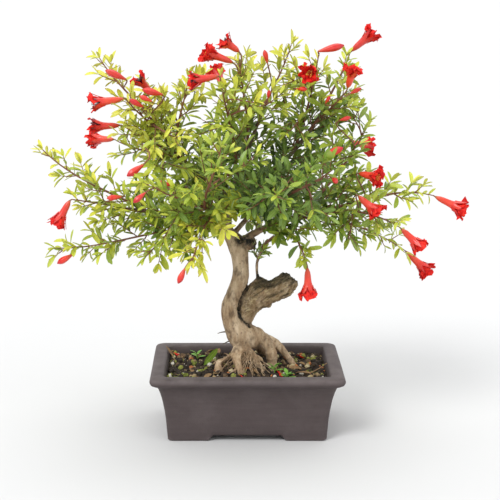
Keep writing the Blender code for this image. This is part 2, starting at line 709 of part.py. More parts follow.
def stalk_route(stem, share, base, mouth):
    """Stalk of a flower, from the stem to the flower's base."""
    start, way = point_on(stem, share)
    straight, end = stalk_end(base, mouth)
    out_way = (way + (straight - start).normalized()).normalized()
    return curved_route(start, straight, out_way, (end - straight).normalized(), 3) + [end]


def stalks_of(name, stem):
    """Stalk routes of the flowers and small buds on a spray that stand off its stem."""
    flowers = [entry[:4] for entry in BLOOMS.values() if entry[1] < 1.0]
    return [
        stalk_route(stem, share, *flower_ends(base, mouth))
        for spray, share, base, mouth in (*flowers, *BUDS)
        if spray == name
    ]


def buds_of(name):
    return [flower_ends(base, tip) for spray, _, base, tip in BUDS if spray == name]


class Space:
    """Balls that stand for what is already placed, so that leaves can keep clear of it."""

    def __init__(self):
        self.cells = {}
        self.side = MOUTH_CLEAR + LEAF_CLEAR

    def cell(self, place):
        return tuple(int(math.floor(c / self.side)) for c in place)

    def add(self, place, radius, owner):
        self.cells.setdefault(self.cell(place), []).append((place, radius, owner))

    def add_route(self, route, radius, owner):
        for a, b in zip(route, route[1:]):
            steps = max(1, int((b - a).length / 0.002))
            for i in range(steps + 1):
                self.add(a.lerp(b, i / steps), radius, owner)

    def is_free(self, place, radius, owner):
        """Whether a ball clears all that isn't its owner's."""
        x, y, z = self.cell(place)
        for i in (-1, 0, 1):
            for j in (-1, 0, 1):
                for k in (-1, 0, 1):
                    for other, wide, whose in self.cells.get((x + i, y + j, z + k), ()):
                        if whose != owner and (other - place).length < radius + wide:
                            return False
        return True


def fill_space(space):
    """Enters the wood, stems, stalks and flowers, which the leaves keep clear of."""
    for points in (TRUNK, STUB):
        for place, radius in points:
            space.add(Vector(place) * MM, radius * MM, "wood")
    for route, start, _ in BRANCHES.values():
        space.add_route(smooth_route(route, ROUTE_STEPS), start * MM, "wood")
    for name in SPRAYS:
        stem = stem_route(name)
        wood = round(WOOD_SHARE * ROUTE_STEPS)
        space.add_route(spray_route(name)[:wood], BRANCHLET_RADII[0], "wood")
        space.add_route(stem, STEM_RADII[0], name)
        for route in (*stalks_of(name, stem), *forks_of(name, stem)):
            space.add_route(route, STALK_RADIUS, name)
        for ends in buds_of(name):
            space.add_route(ends, BLOOM_CLEAR, "bud")
    for _, _, base, mouth, kind in BLOOMS.values():
        ends = flower_ends(base, mouth)
        space.add_route(ends, BLOOM_CLEAR, "bloom")
        if kind != "bud":
            space.add(ends[1], MOUTH_CLEAR, "bloom")


def leaf_mesh():
    """A pointed leaf of unit length and unit width along +X, folded up along its midrib."""
    bm = bmesh.new()
    bmesh.ops.create_cone(bm, cap_ends=True, segments=4, radius1=1.0, radius2=0.0, depth=2.0)
    bm.verts.ensure_lookup_table()
    face = max(bm.faces, key=lambda f: len(f.verts))
    foot, left, tip, right = face.verts
    keel = next(vert for vert in bm.verts if vert not in face.verts)
    foot.co = (0, 0, 0)
    left.co = (LEAF_WIDEST, 0.5, LEAF_FOLD)
    tip.co = (1, 0, 0)
    right.co = (LEAF_WIDEST, -0.5, LEAF_FOLD)
    keel.co = (LEAF_WIDEST, 0, -LEAF_THICKNESS)
    bmesh.ops.connect_verts(bm, verts=[foot, tip])
    return mesh_from(bm, "leaf")


def leaf_matrix(place, way, out, length, tilt):
    """Sets a leaf with its foot at a place on a stem, leaning forward and facing the sky."""
    along = (way * math.cos(LEAF_LEAN) + out * math.sin(LEAF_LEAN)).normalized()
    up = Vector((0, 0, 1)) + 0.6 * way
    up = (up - along * up.dot(along)).normalized()
    up = Matrix.Rotation(tilt, 3, along) @ up
    frame = Matrix((along, up.cross(along), up)).transposed().to_4x4()
    size = Matrix.Diagonal((length, length * LEAF_ASPECT, 1, 1))
    return Matrix.Translation(place - along * LEAF_SUNK) @ frame @ size


class Foliage:
    """Adds the leaves of one spray, each where it clears everything else."""

    def __init__(self, name, space, mesh, pieces):
        self.name = name
        self.space = space
        self.mesh = mesh
        self.pieces = pieces
        self.draw = random.Random(name)

    def set_leaf(self, place, way, turn):
        """Turns a leaf round its stem until it is clear, or leaves it out."""
        side = way.orthogonal().normalized()
        for attempt in range(LEAF_TRIES):
            length = self.draw.uniform(*LEAF_LENGTH) * (1 - 0.02 * attempt)
            spin = turn + self.draw.uniform(-0.35, 0.35) * (1 + 0.4 * attempt)
            out = Matrix.Rotation(spin, 3, way) @ side
            matrix = leaf_matrix(place, way, out, length, self.draw.uniform(-0.5, 0.5))
            balls = [matrix @ Vector((share, 0, 0)) for share in LEAF_PROBES]
            if all(self.space.is_free(ball, LEAF_CLEAR, self.name) for ball in balls):
                for ball in balls:
                    self.space.add(ball, LEAF_CLEAR, "leaf")
                new_object("leaf", self.mesh, self.pieces).matrix_world = matrix
                return

    def set_pairs(self, route, shares):
        """Leaves in opposite pairs, each pair turned a quarter from the last."""
        for index, share in enumerate(shares):
            place, way = point_on(route, share)
            turn = index * math.pi / 2 + self.draw.uniform(0, 0.5)
            self.set_leaf(place - way * PAIR_APART, way, turn)
            self.set_leaf(place + way * PAIR_APART, way, turn + math.pi)


def build_spray(name, collection, material, space, mesh):
    """A leafy spray: stem, forks, side shoots, flower stalks, buds and leaves, in one solid."""
    stem = stem_route(name)
    spray = tube("spray_" + name, stem, tapered(*STEM_RADII, len(stem)), collection, 0)
    spray.data.materials.append(material)
    pieces = new_collection(name + " pieces")
    for route in stalks_of(name, stem):
        tube("stalk", route, [STALK_RADIUS] * len(route), pieces, 0)
    for base, tip in buds_of(name):
        aimed(bud_mesh(tip - base), "bud", base.lerp(tip, -BUD_SUNK), tip, pieces)
    foliage = Foliage(name, space, mesh, pieces)
    for route in forks_of(name, stem):
        tube("fork", route, [STALK_RADIUS] * len(route), pieces, 0)
        foliage.set_pairs(route, FORK_PAIRS)
        foliage.set_leaf(*point_on(route, TIP_LEAF), turn=0)
    for index in range(SPRAYS[name][5]):
        ends = shoot_ends(name, index, stem)
        middle = ends[0].lerp(ends[1], 0.5)
        if not all(space.is_free(p, 2 * SHOOT_RADIUS, name) for p in (middle, ends[1])):
            continue
        space.add_route(ends, SHOOT_RADIUS, name)
        rod("shoot", ends, (SHOOT_RADIUS, SHOOT_RADIUS), 3, pieces)
        foliage.set_pairs(ends, (SHOOT_PAIR,))
        foliage.set_leaf(*point_on(ends, TIP_LEAF), turn=index)
    run = sum((b - a).length for a, b in zip(stem, stem[1:]))
    pairs = max(1, round(run / STEM_LEAF_SPACING))
    foliage.set_pairs(stem, [leafy_share(stem) * (i + 0.6) / pairs for i in range(pairs)])
    flowers = (*BLOOMS.values(), *BUDS)
    if not any(entry[0] == name and entry[1] == 1.0 for entry in flowers):
        foliage.set_leaf(*point_on(stem, TIP_LEAF), turn=0)
    apply_boolean(spray, pieces, "UNION", "MANIFOLD")


def stack_rings(bm, sides, rings):
    """Extrudes circles one from the next along +Z and returns the face on top."""
    start = bmesh.ops.create_circle(bm, cap_ends=True, segments=sides, radius=rings[0][1])
    face = start["verts"][0].link_faces[0]
    for (low, small), (high, wide) in zip(rings, rings[1:]):
        face = bmesh.ops.extrude_discrete_faces(bm, faces=[face])["faces"][0]
        verts = list(face.verts)
        bmesh.ops.scale(bm, vec=(wide / small, wide / small, 1), verts=verts)
        bmesh.ops.translate(bm, vec=(0, 0, high - low), verts=verts)
    bmesh.ops.contextual_create(bm, geom=[e for e in bm.edges if e.is_boundary])
    return face


def bud_mesh(run):
    """A closed flower bud along +Z, drawn to a point."""
    bm = bmesh.new()
    rings = [(share * run.length, radius) for share, radius in BUD_PROFILE]
    top = stack_rings(bm, BLOOM_SIDES, rings)
    bmesh.ops.poke(bm, faces=[top])["verts"][0].co.z = run.length
    return mesh_from(bm, "bud")


def flower_mesh(run, kind):
    """An open flower along +Z: a hollow-mouthed calyx whose rim is drawn out into petals."""
    bm = bmesh.new()
    rings = [(share * run.length, radius) for share, radius in CALYX_PROFILE]
    top = stack_rings(bm, BLOOM_SIDES, rings)
    rim = bmesh.ops.inset_individual(bm, faces=[top], thickness=CALYX_WALL)["faces"]
    cup = bmesh.ops.extrude_discrete_faces(bm, faces=[top])["faces"][0]
    bmesh.ops.scale(bm, vec=(CUP_TAPER, CUP_TAPER, 1), verts=list(cup.verts))
    bmesh.ops.translate(bm, vec=(0, 0, -CUP_DEPTH * run.length), verts=list(cup.verts))
    for quad in list(rim):
        draw_petal(bm, quad, run.length, PETAL_STEPS[kind])
    return mesh_from(bm, "flower")


def draw_petal(bm, quad, length, steps):
    """Draws one face of the rim out and up into a petal that is widest in the middle."""
    out = quad.calc_center_median()
    out.z = 0
    out.normalize()
    across = Vector((0, 0, 1)).cross(out)
    for rise, widen, reach in steps:
        quad = bmesh.ops.extrude_discrete_faces(bm, faces=[quad])["faces"][0]
        centre = quad.calc_center_median()
        for vert in quad.verts:
            side = (vert.co - centre).dot(across)
            vert.co += across * side * (widen - 1) + out * reach + Vector((0, 0, rise * length))


def aimed(mesh, name, base, mouth, collection, material=None):
    """Stands a mesh made along +Z on a base point, turned towards a mouth point."""
    obj = new_object(name, mesh, collection, material)
    turn = (mouth - base).to_track_quat("Z", "Y").to_matrix().to_4x4()
    obj.matrix_world = Matrix.Translation(base) @ turn
    return obj


def build_bloom(name, collection, material):
    """One flower or large bud as its own solid."""
    _, _, base, mouth, kind = BLOOMS[name]
    base, mouth = flower_ends(base, mouth)
    run = mouth - base
    mesh = bud_mesh(run) if kind == "bud" else flower_mesh(run, kind)
    aimed(mesh, "bloom_" + name, base, mouth, collection, material)


def main():
    for obj in list(bpy.data.objects):
        bpy.data.objects.remove(obj)
    bonsai = new_collection("pomegranate bonsai")
    build_pot(bonsai)
    build_screen("drain_screen_left", -DRAIN_OFFSET, bonsai)
    build_screen("drain_screen_right", DRAIN_OFFSET, bonsai)
    build_soil(bonsai)
    build_trunk(bonsai)
    red = new_material("bloom", BLOOM_COLOUR, 0.45)
    for name in BLOOMS:
        build_bloom(name, bonsai, red)
    space = Space()
    fill_space(space)
    green = new_material("leaf", LEAF_COLOUR, 0.5)
    mesh = leaf_mesh()
    for name in SPRAYS:
        build_spray(name, bonsai, green, space, mesh)


main()
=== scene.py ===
"""The looks of a flowering pomegranate bonsai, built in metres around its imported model."""

import math
import random

import bmesh
import bpy
from mathutils import Matrix, Vector, noise


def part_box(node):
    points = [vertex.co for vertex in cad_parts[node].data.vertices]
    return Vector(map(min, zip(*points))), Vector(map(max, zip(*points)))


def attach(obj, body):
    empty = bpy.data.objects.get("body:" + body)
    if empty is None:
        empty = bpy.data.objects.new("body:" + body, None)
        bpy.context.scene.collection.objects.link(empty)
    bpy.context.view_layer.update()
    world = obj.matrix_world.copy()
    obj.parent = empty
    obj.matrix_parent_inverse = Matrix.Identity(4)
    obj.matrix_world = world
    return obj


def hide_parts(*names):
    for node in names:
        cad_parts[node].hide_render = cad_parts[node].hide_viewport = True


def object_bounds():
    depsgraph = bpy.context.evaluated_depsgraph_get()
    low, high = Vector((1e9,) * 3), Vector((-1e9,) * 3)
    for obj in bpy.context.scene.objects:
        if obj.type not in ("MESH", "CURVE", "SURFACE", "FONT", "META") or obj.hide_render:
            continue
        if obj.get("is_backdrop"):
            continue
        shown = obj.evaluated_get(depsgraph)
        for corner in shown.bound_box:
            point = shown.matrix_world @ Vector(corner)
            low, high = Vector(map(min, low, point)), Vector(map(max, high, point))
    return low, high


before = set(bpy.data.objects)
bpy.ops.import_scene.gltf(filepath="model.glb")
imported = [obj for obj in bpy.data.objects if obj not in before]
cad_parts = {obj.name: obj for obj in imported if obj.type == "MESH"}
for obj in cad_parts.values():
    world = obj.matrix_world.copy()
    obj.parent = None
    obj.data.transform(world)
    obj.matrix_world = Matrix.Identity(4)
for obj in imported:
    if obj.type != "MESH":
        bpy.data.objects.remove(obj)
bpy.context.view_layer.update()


# Studio, which is no part of the object: a pale floor, three soft lamps and pale air round it.
# The camera stands and tilts as the photograph's did, fitted to the pot's rim and feet.
MM = 0.001
PHOTO_SIDE = 500
FOCAL_PIXELS = 1268
MIDDLE_COLUMN = 225.8
SENSOR = 36.0
CAMERA_PLACE = (-0.020, -1.167, 0.4157)
CAMERA_TILT = math.radians(11.8)
FLOOR_REACH = 45.0
AIR_COLOUR = (0.97, 0.98, 1.00, 1.0)
AIR_STRENGTH = 0.95
PAPER_COLOUR = (0.67, 0.67, 0.665, 1.0)
# Lamps, so far off that they light the floor evenly: place, width in degrees and strength.
LAMPS = {
    "key": ((-0.75, -0.95, 1.20), 22.0, 1.50),
    "fill": ((1.10, -1.05, 0.60), 40.0, 0.22),
    "top": ((0.10, 0.35, 1.45), 45.0, 0.80),
}


def add_node(tree, kind, inputs=None, **settings):
    """A shader node with its settings; an input given as a socket is linked, and any other set."""
    made = tree.nodes.new("ShaderNode" + kind)
    for name, value in settings.items():
        setattr(made, name, value)
    for name, value in (inputs or {}).items():
        if isinstance(value, bpy.types.NodeSocket):
            tree.links.new(value, made.inputs[name])
        else:
            made.inputs[name].default_value = value
    return made


def new_finish(name, **inputs):
    """A material with its Principled shader's plain inputs set; returns it, its tree and its shader."""
    material = bpy.data.materials.new(name)
    material.use_nodes = True
    shader = material.node_tree.nodes["Principled BSDF"]
    for socket, value in inputs.items():
        shader.inputs[socket.replace("_", " ")].default_value = value
    return material, material.node_tree, shader


def new_piece(name, bm, finishes, sharp=50.0):
    """Turns a finished bmesh into an object at the origin, smooth but for its sharp edges."""
    mesh = bpy.data.meshes.new(name)
    bm.to_mesh(mesh)
    bm.free()
    mesh.shade_smooth()
    mesh.set_sharp_from_angle(angle=math.radians(sharp))
    for finish in finishes:
        mesh.materials.append(finish)
    piece = bpy.data.objects.new(name, mesh)
    bpy.context.scene.collection.objects.link(piece)
    return piece


def mottle_group():
    """Shared effect: soft patches between two levels of a noise, for stains, grain and relief."""
    tree = bpy.data.node_groups.new("mottle", "ShaderNodeTree")
    tree.interface.new_socket("Vector", in_out="INPUT", socket_type="NodeSocketVector")
    for name, value in (("Scale", 100.0), ("Detail", 4.0), ("Low", 0.0), ("High", 1.0)):
        socket = tree.interface.new_socket(name, in_out="INPUT", socket_type="NodeSocketFloat")
        socket.default_value = value
    tree.interface.new_socket("Mask", in_out="OUTPUT", socket_type="NodeSocketFloat")
    given = tree.nodes.new("NodeGroupInput").outputs
    cloud = {name: given[name] for name in ("Vector", "Scale", "Detail")}
    cloud["Roughness"] = 0.6
    clouds = add_node(tree, "TexNoise", cloud)
    levels = {"Value": clouds.outputs[0], "From Min": given["Low"], "From Max": given["High"]}
    mask = add_node(tree, "MapRange", levels)
    tree.links.new(mask.outputs[0], tree.nodes.new("NodeGroupOutput").inputs[0])
    return tree


mottle_effect = mottle_group()


def coordinates(tree, stretch=(1.0, 1.0, 1.0)):
    """Object coordinates, drawn together along each axis by the stretch."""
    place = add_node(tree, "TexCoord").outputs["Object"]
    return add_node(tree, "Mapping", {"Vector": place, "Scale": stretch}).outputs[0]


def mottle(tree, vector, scale, low=0.0, high=1.0, detail=4.0):
    """The shared patches in one material, with its own values."""
    inputs = {"Vector": vector, "Scale": scale, "Detail": detail, "Low": low, "High": high}
    made = tree.nodes.new("ShaderNodeGroup")
    made.node_tree = mottle_effect
    for name, value in inputs.items():
        if isinstance(value, bpy.types.NodeSocket):
            tree.links.new(value, made.inputs[name])
        else:
            made.inputs[name].default_value = value
    return made.outputs["Mask"]


def blend(tree, factor, first, second):
    """Colour between two, each a colour or a socket."""
    made = add_node(tree, "Mix", {0: factor, 6: first, 7: second}, data_type="RGBA")
    return made.outputs[2]


def sums(tree, operation, *values):
    """A sum, product or other value worked out from sockets and numbers."""
    return add_node(tree, "Math", dict(enumerate(values)), operation=operation).outputs[0]


def stain(tree, colour, mask, strength, tint):
    """Lays a tint over a colour where a mask shows, no stronger than given."""
    return blend(tree, sums(tree, "MULTIPLY", mask, strength), colour, tint)


def span(tree, value, start, end, low=0.0, high=1.0):
    """Fades a value between two levels as another goes from start to end."""
    levels = {"Value": value, "From Min": start, "From Max": end, "To Min": low, "To Max": high}
    return add_node(tree, "MapRange", levels).outputs[0]


def attribute(tree, name):
    return add_node(tree, "Attribute", attribute_name=name).outputs["Fac"]


def ramp(tree, factor, stops, interpolation="LINEAR"):
    """Colours laid out along a value: each stop is its place and its colour."""
    made = add_node(tree, "ValToRGB", {"Fac": factor})
    made.color_ramp.interpolation = interpolation
    points = made.color_ramp.elements
    while len(points) < len(stops):
        points.new(1.0)
    for point, (place, colour) in zip(points, stops):
        point.position = place
        point.color = (*colour, 1.0)
    return made.outputs["Color"]


def raise_bumps(tree, shader, height, distance, strength=1.0):
    inputs = {"Height": height, "Distance": distance, "Strength": strength}
    bumps = add_node(tree, "Bump", inputs)
    tree.links.new(bumps.outputs[0], shader.inputs["Normal"])


def aim(place, target):
    return (Vector(target) - Vector(place)).to_track_quat("-Z", "Y").to_matrix().to_4x4()


scene = bpy.context.scene
scene.view_settings.view_transform = "Standard"
lens = bpy.data.cameras.new("camera")
lens.sensor_width = SENSOR
lens.lens = FOCAL_PIXELS / PHOTO_SIDE * SENSOR
lens.shift_x = (PHOTO_SIDE / 2 - MIDDLE_COLUMN) / PHOTO_SIDE
camera = bpy.data.objects.new("camera", lens)
camera.location = CAMERA_PLACE
camera.rotation_euler = (math.pi / 2 - CAMERA_TILT, 0.0, 0.0)
scene.collection.objects.link(camera)
scene.camera = camera

for name, (place, width, strength) in LAMPS.items():
    light = bpy.data.lights.new(name, "SUN")
    light.angle = math.radians(width)
    light.energy = strength
    lamp = bpy.data.objects.new(name, light)
    lamp.matrix_world = Matrix.Translation(place) @ aim(place, (0.0, 0.0, 0.0))
    scene.collection.objects.link(lamp)

air = bpy.data.worlds.new("air")
air.use_nodes = True
air.node_tree.nodes["Background"].inputs["Color"].default_value = AIR_COLOUR
air.node_tree.nodes["Background"].inputs["Strength"].default_value = AIR_STRENGTH
scene.world = air

paper, tree, shader = new_finish("paper", Roughness=0.9, Specular_IOR_Level=0.0)
patches = mottle(tree, coordinates(tree), 3.0, 0.3, 0.7)
clean = tuple(0.985 * c for c in PAPER_COLOUR[:3]) + (1.0,)
tree.links.new(blend(tree, patches, PAPER_COLOUR, clean), shader.inputs["Base Color"])
bm = bmesh.new()
bmesh.ops.create_grid(bm, x_segments=1, y_segments=1, size=FLOOR_REACH)
floor = new_piece("floor", bm, [paper])
floor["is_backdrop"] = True


# Pot: one piece of unglazed stoneware, pressed in a mould and fired. A rolled lip stands out over
# a wall that curves in to four corner feet, and two drain holes go through the floor.
pot_low, pot_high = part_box("pot")
POT_HALF = ((pot_high.x - pot_low.x) / 2, (pot_high.y - pot_low.y) / 2)
LIP_CORNER = 0.0080
CORNER_CELLS = 8
WALL_CELLS = (100, 68)
FOOT_HEIGHT = 0.0052
FOOT_SLOPE = 0.0046
GAP_HALF = (0.0364, 0.0104)
DRAIN_OFFSET = 0.038
DRAIN_RADIUS = 0.009
FLOOR_TOP = 0.012
HAND_WOBBLE = 0.00016
# Seed of the vector noise, which otherwise differs from one run to the next.
NOISE_SEED = 5
# Section from the recess under the floor, round the foot, up the outside, over the lip and down
# the inside: how far the clay lies inside the lip's outer edge, and its height.
POT_SECTION = (
    (0.0262, FOOT_HEIGHT),
    (0.0254, 0.0046),
    (0.0250, 0.0012),
    (0.0240, 0.0000),
    (0.0185, 0.0000),
    (0.0168, 0.0003),
    (0.0159, 0.0014),
    (0.0155, 0.0062),
    (0.0150, 0.0120),
    (0.0145, 0.0200),
    (0.0134, 0.0290),
    (0.0120, 0.0370),
    (0.0109, 0.0422),
    (0.0096, 0.0470),
    (0.0081, 0.0515),
    (0.0066, 0.0543),
    (0.0048, 0.0556),
    (0.0028, 0.0561),
    (0.0012, 0.0571),
    (0.0003, 0.0588),
    (0.0000, 0.0604),
    (0.0004, 0.0621),
    (0.0014, 0.0633),
    (0.0030, 0.0639),
    (0.0060, 0.0640),
    (0.0102, 0.0640),
    (0.0120, 0.0637),
    (0.0129, 0.0630),
    (0.0133, 0.0616),
    (0.0143, 0.0570),
    (0.0157, 0.0500),
    (0.0230, 0.0130),
    (0.0240, FLOOR_TOP),
)


def foot_lift(place, half):
    """How far the pot's lower edge is raised between two feet."""
    lifts = [0.0]
    for across, along in ((1, 0), (0, 1)):
        if abs(place[across]) > half[across] - 0.0001:
            lifts.append((GAP_HALF[along] - abs(place[along])) / FOOT_SLOPE)
    return FOOT_HEIGHT * min(1.0, max(lifts))


def pot_ring(inset, height):
    """A level line round the pot, counter-clockwise."""
    half = [side - inset for side in POT_HALF]
    corner = max(0.002, LIP_CORNER - 0.25 * inset)
    arcs = []
    for quarter, (sx, sy) in enumerate(((1, 1), (-1, 1), (-1, -1), (1, -1))):
        centre = Vector((sx * (half[0] - corner), sy * (half[1] - corner), 0))
        turns = [math.pi / 2 * (quarter + i / CORNER_CELLS) for i in range(CORNER_CELLS + 1)]
        arcs.append([centre + corner * Vector((math.cos(a), math.sin(a), 0)) for a in turns])
    ring = []
    for index, arc in enumerate(arcs):
        ring += arc
        start, end = arc[-1], arcs[(index + 1) % 4][0]
        cells = WALL_CELLS[index % 2]
        ring += [start.lerp(end, i / cells) for i in range(1, cells)]
    for place in ring:
        lift = foot_lift(place, half)
        place.z = height + lift if inset < 0.0172 and height < 0.002 else max(height, lift)
        if 0.005 < height < 0.010:
            place.z = max(height, lift + 0.0022)
    return ring


def stack_rings(bm, rings):
    """A closed solid through level lines, each extruded from the one before."""
    face = bm.faces.new([bm.verts.new(place) for place in rings[0]])
    for ring in rings[1:]:
        face = bmesh.ops.extrude_discrete_faces(bm, faces=[face])["faces"][0]
        for vert, place in zip(face.verts, ring):
            vert.co = place
    bmesh.ops.contextual_create(bm, geom=[edge for edge in bm.edges if edge.is_boundary])
    bmesh.ops.recalc_face_normals(bm, faces=bm.faces[:])


def baked(obj, bm):
    """Reads an object with its modifiers back into a bmesh, and removes the object."""
    bpy.context.view_layer.update()
    seen = obj.evaluated_get(bpy.context.evaluated_depsgraph_get())
    mesh = bpy.data.meshes.new_from_object(seen)
    bm.from_mesh(mesh)
    bpy.data.objects.remove(obj)
    return bm


def stoneware_finish():
    """Fired clay: warm dark grey with paler dust on the feet, paler dust with a painted highlight on
    the top of the lip, wiping marks and grain.
    """
    material, tree, shader = new_finish("stoneware", Roughness=0.72)
    place = coordinates(tree)
    wiped = coordinates(tree, (5.0, 5.0, 60.0))
    dark, mid, pale = (0.060, 0.044, 0.043, 1), (0.077, 0.057, 0.056, 1), (0.165, 0.138, 0.136, 1)
    colour = blend(tree, mottle(tree, wiped, 3.2, 0.30, 0.75), dark, mid)
    cloudy = sums(tree, "MULTIPLY", mottle(tree, place, 34.0, 0.50, 0.85), 0.25)
    colour = blend(tree, cloudy, colour, pale)
    height = add_node(tree, "SeparateXYZ", {"Vector": place}).outputs["Z"]
    # The top of the lip is painted paler: partly dust and wear, partly a painted highlight.
    wear_and_painted_light = sums(tree, "MULTIPLY", span(tree, height, 0.0585, 0.0640), 0.85)
    dusty = sums(tree, "MULTIPLY", span(tree, height, 0.0050, 0.0), 0.45)
    marks = mottle(tree, place, 75.0, 0.25, 0.75, 6.0)
    edge = sums(tree, "MULTIPLY", sums(tree, "MAXIMUM", wear_and_painted_light, dusty), marks)
    colour = stain(tree, colour, edge, 1.3, pale)
    scratch = mottle(tree, coordinates(tree, (30.0, 30.0, 700.0)), 1.4, 0.74, 0.80, 2.0)
    colour = stain(tree, colour, scratch, 0.35, pale)
    tree.links.new(colour, shader.inputs["Base Color"])
    tree.links.new(span(tree, marks, 0.0, 1.0, 0.62, 0.84), shader.inputs["Roughness"])
    grain = sums(tree, "ADD", mottle(tree, place, 900.0, detail=6.0), mottle(tree, wiped, 6.0))
    raise_bumps(tree, shader, grain, 0.00022, 0.7)
    return material


bm = bmesh.new()
stack_rings(bm, [pot_ring(inset, height) for inset, height in POT_SECTION])
body = new_piece("pot_body", bm, [])
bm = bmesh.new()
for side in (-1, 1):
    place = Matrix.Translation((side * DRAIN_OFFSET, 0, FLOOR_TOP / 2))
    bmesh.ops.create_cone(
        bm,
        cap_ends=True,
        segments=32,
        radius1=DRAIN_RADIUS,
        radius2=DRAIN_RADIUS,
        depth=3 * FLOOR_TOP,
        matrix=place,
    )
drill = new_piece("drill", bm, [])
cut = body.modifiers.new("drains", "BOOLEAN")
cut.operation = "DIFFERENCE"
cut.object = drill
bm = baked(body, bmesh.new())
bpy.data.objects.remove(drill)
noise.seed_set(NOISE_SEED)
for vert in bm.verts:
    vert.co += HAND_WOBBLE * noise.noise_vector(vert.co * 22)
stoneware = stoneware_finish()
pot = new_piece("stoneware_pot", bm, [stoneware], 38.0)
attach(pot, "root")
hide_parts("pot")


# Drain screens: two squares cut from a sheet of black plastic mesh, laid over the drain holes
# before the soil goes in. Each is one moulded net with a plain border.
SCREEN_CELLS = 8
SCREEN_BAR = 0.0011


def plastic_finish():
    """Moulded black plastic with a little lime left by the water."""
    material, tree, shader = new_finish("black_plastic", Roughness=0.45)
    place = coordinates(tree)
    lime = mottle(tree, place, 260.0, 0.55, 0.75)
    colour = blend(tree, lime, (0.016, 0.016, 0.017, 1), (0.09, 0.085, 0.08, 1))
    tree.links.new(colour, shader.inputs["Base Color"])
    raise_bumps(tree, shader, mottle(tree, place, 1500.0), 0.0001, 0.5)
    return material


plastic = plastic_finish()
for side in ("left", "right"):
    low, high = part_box("drain_screen_" + side)
    centre = (low + high) / 2
    bm = bmesh.new()
    size = Matrix.Diagonal(((high.x - low.x) / 2, (high.y - low.y) / 2, 1, 1))
    place = Matrix.Translation((centre.x, centre.y, centre.z)) @ size
    cells = {"x_segments": SCREEN_CELLS, "y_segments": SCREEN_CELLS}
    bmesh.ops.create_grid(bm, size=1.0, matrix=place, **cells)
    holes = bmesh.ops.inset_individual(bm, faces=bm.faces[:], thickness=SCREEN_BAR / 2)
    bars = set(holes["faces"])
    bmesh.ops.delete(bm, geom=[f for f in bm.faces if f not in bars], context="FACES")
    bmesh.ops.solidify(bm, geom=bm.faces[:], thickness=high.z - low.z)
    bmesh.ops.recalc_face_normals(bm, faces=bm.faces[:])
    middle = sum((v.co.z for v in bm.verts)) / len(bm.verts)
    bmesh.ops.translate(bm, vec=(0, 0, centre.z - middle), verts=bm.verts[:])
    screen = new_piece("drain_mesh_" + side, bm, [plastic], 30.0)
    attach(screen, "root")
    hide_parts("drain_screen_" + side)


# Soil: one body of dark gritty compost that fills the pot to just under the lip. Its top is
# lumpy and rises a little round the roots.
soil_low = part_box("soil")[0]
SOIL_LEVEL = 0.0560
SOIL_MOUND = 0.0030
SOIL_RELIEF = 0.0020
SOIL_CELLS = (120, 80)
SOIL_HALF = (0.0758, 0.0498)
SOIL_FOOT = (0.0668, 0.0408)


def soil_height(x, y):
    mound = SOIL_MOUND * math.exp(-((x / 0.035) ** 2) - (y / 0.028) ** 2)
    lumps = SOIL_RELIEF * noise.noise(Vector((x * 90, y * 90, 3.1)))
    crumbs = 0.6 * SOIL_RELIEF * noise.noise(Vector((x * 420, y * 420, 7.7)))
    return SOIL_LEVEL + mound + lumps + crumbs


def soil_finish():
    """Damp compost: near black to brown in mottled patches, green where moss has begun."""
    material, tree, shader = new_finish("compost", Roughness=0.95)
    place = coordinates(tree)
    colour = ramp(
        tree,
        mottle(tree, place, 420.0, 0.30, 0.75, 8.0),
        ((0.0, (0.010, 0.008, 0.006)), (0.5, (0.040, 0.026, 0.015)), (1.0, (0.115, 0.075, 0.042))),
    )
    green = mottle(tree, place, 60.0, 0.58, 0.70)
    green = sums(tree, "MULTIPLY", green, mottle(tree, place, 900.0, 0.3, 0.6))
    colour = blend(tree, green, colour, (0.070, 0.095, 0.020, 1))
    tree.links.new(colour, shader.inputs["Base Color"])
    raise_bumps(tree, shader, mottle(tree, place, 700.0, detail=8.0), 0.0012)
    return material


bm = bmesh.new()
size = Matrix.Diagonal((*SOIL_HALF, 1, 1))
bmesh.ops.create_grid(
    bm, x_segments=SOIL_CELLS[0], y_segments=SOIL_CELLS[1], size=1.0, matrix=size
)
edges = [edge for edge in bm.edges if edge.is_boundary]
for vert in bm.verts:
    vert.co.z = soil_height(vert.co.x, vert.co.y)
skirt = bmesh.ops.extrude_edge_only(bm, edges=edges)["geom"]
for vert in skirt:
    if isinstance(vert, bmesh.types.BMVert):
        vert.co.x *= SOIL_FOOT[0] / SOIL_HALF[0]
        vert.co.y *= SOIL_FOOT[1] / SOIL_HALF[1]
        vert.co.z = soil_low.z
bmesh.ops.contextual_create(bm, geom=[edge for edge in bm.edges if edge.is_boundary])
bmesh.ops.recalc_face_normals(bm, faces=bm.faces[:])
soil = new_piece("soil_bed", bm, [soil_finish()], 60.0)
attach(soil, "root")
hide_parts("soil")
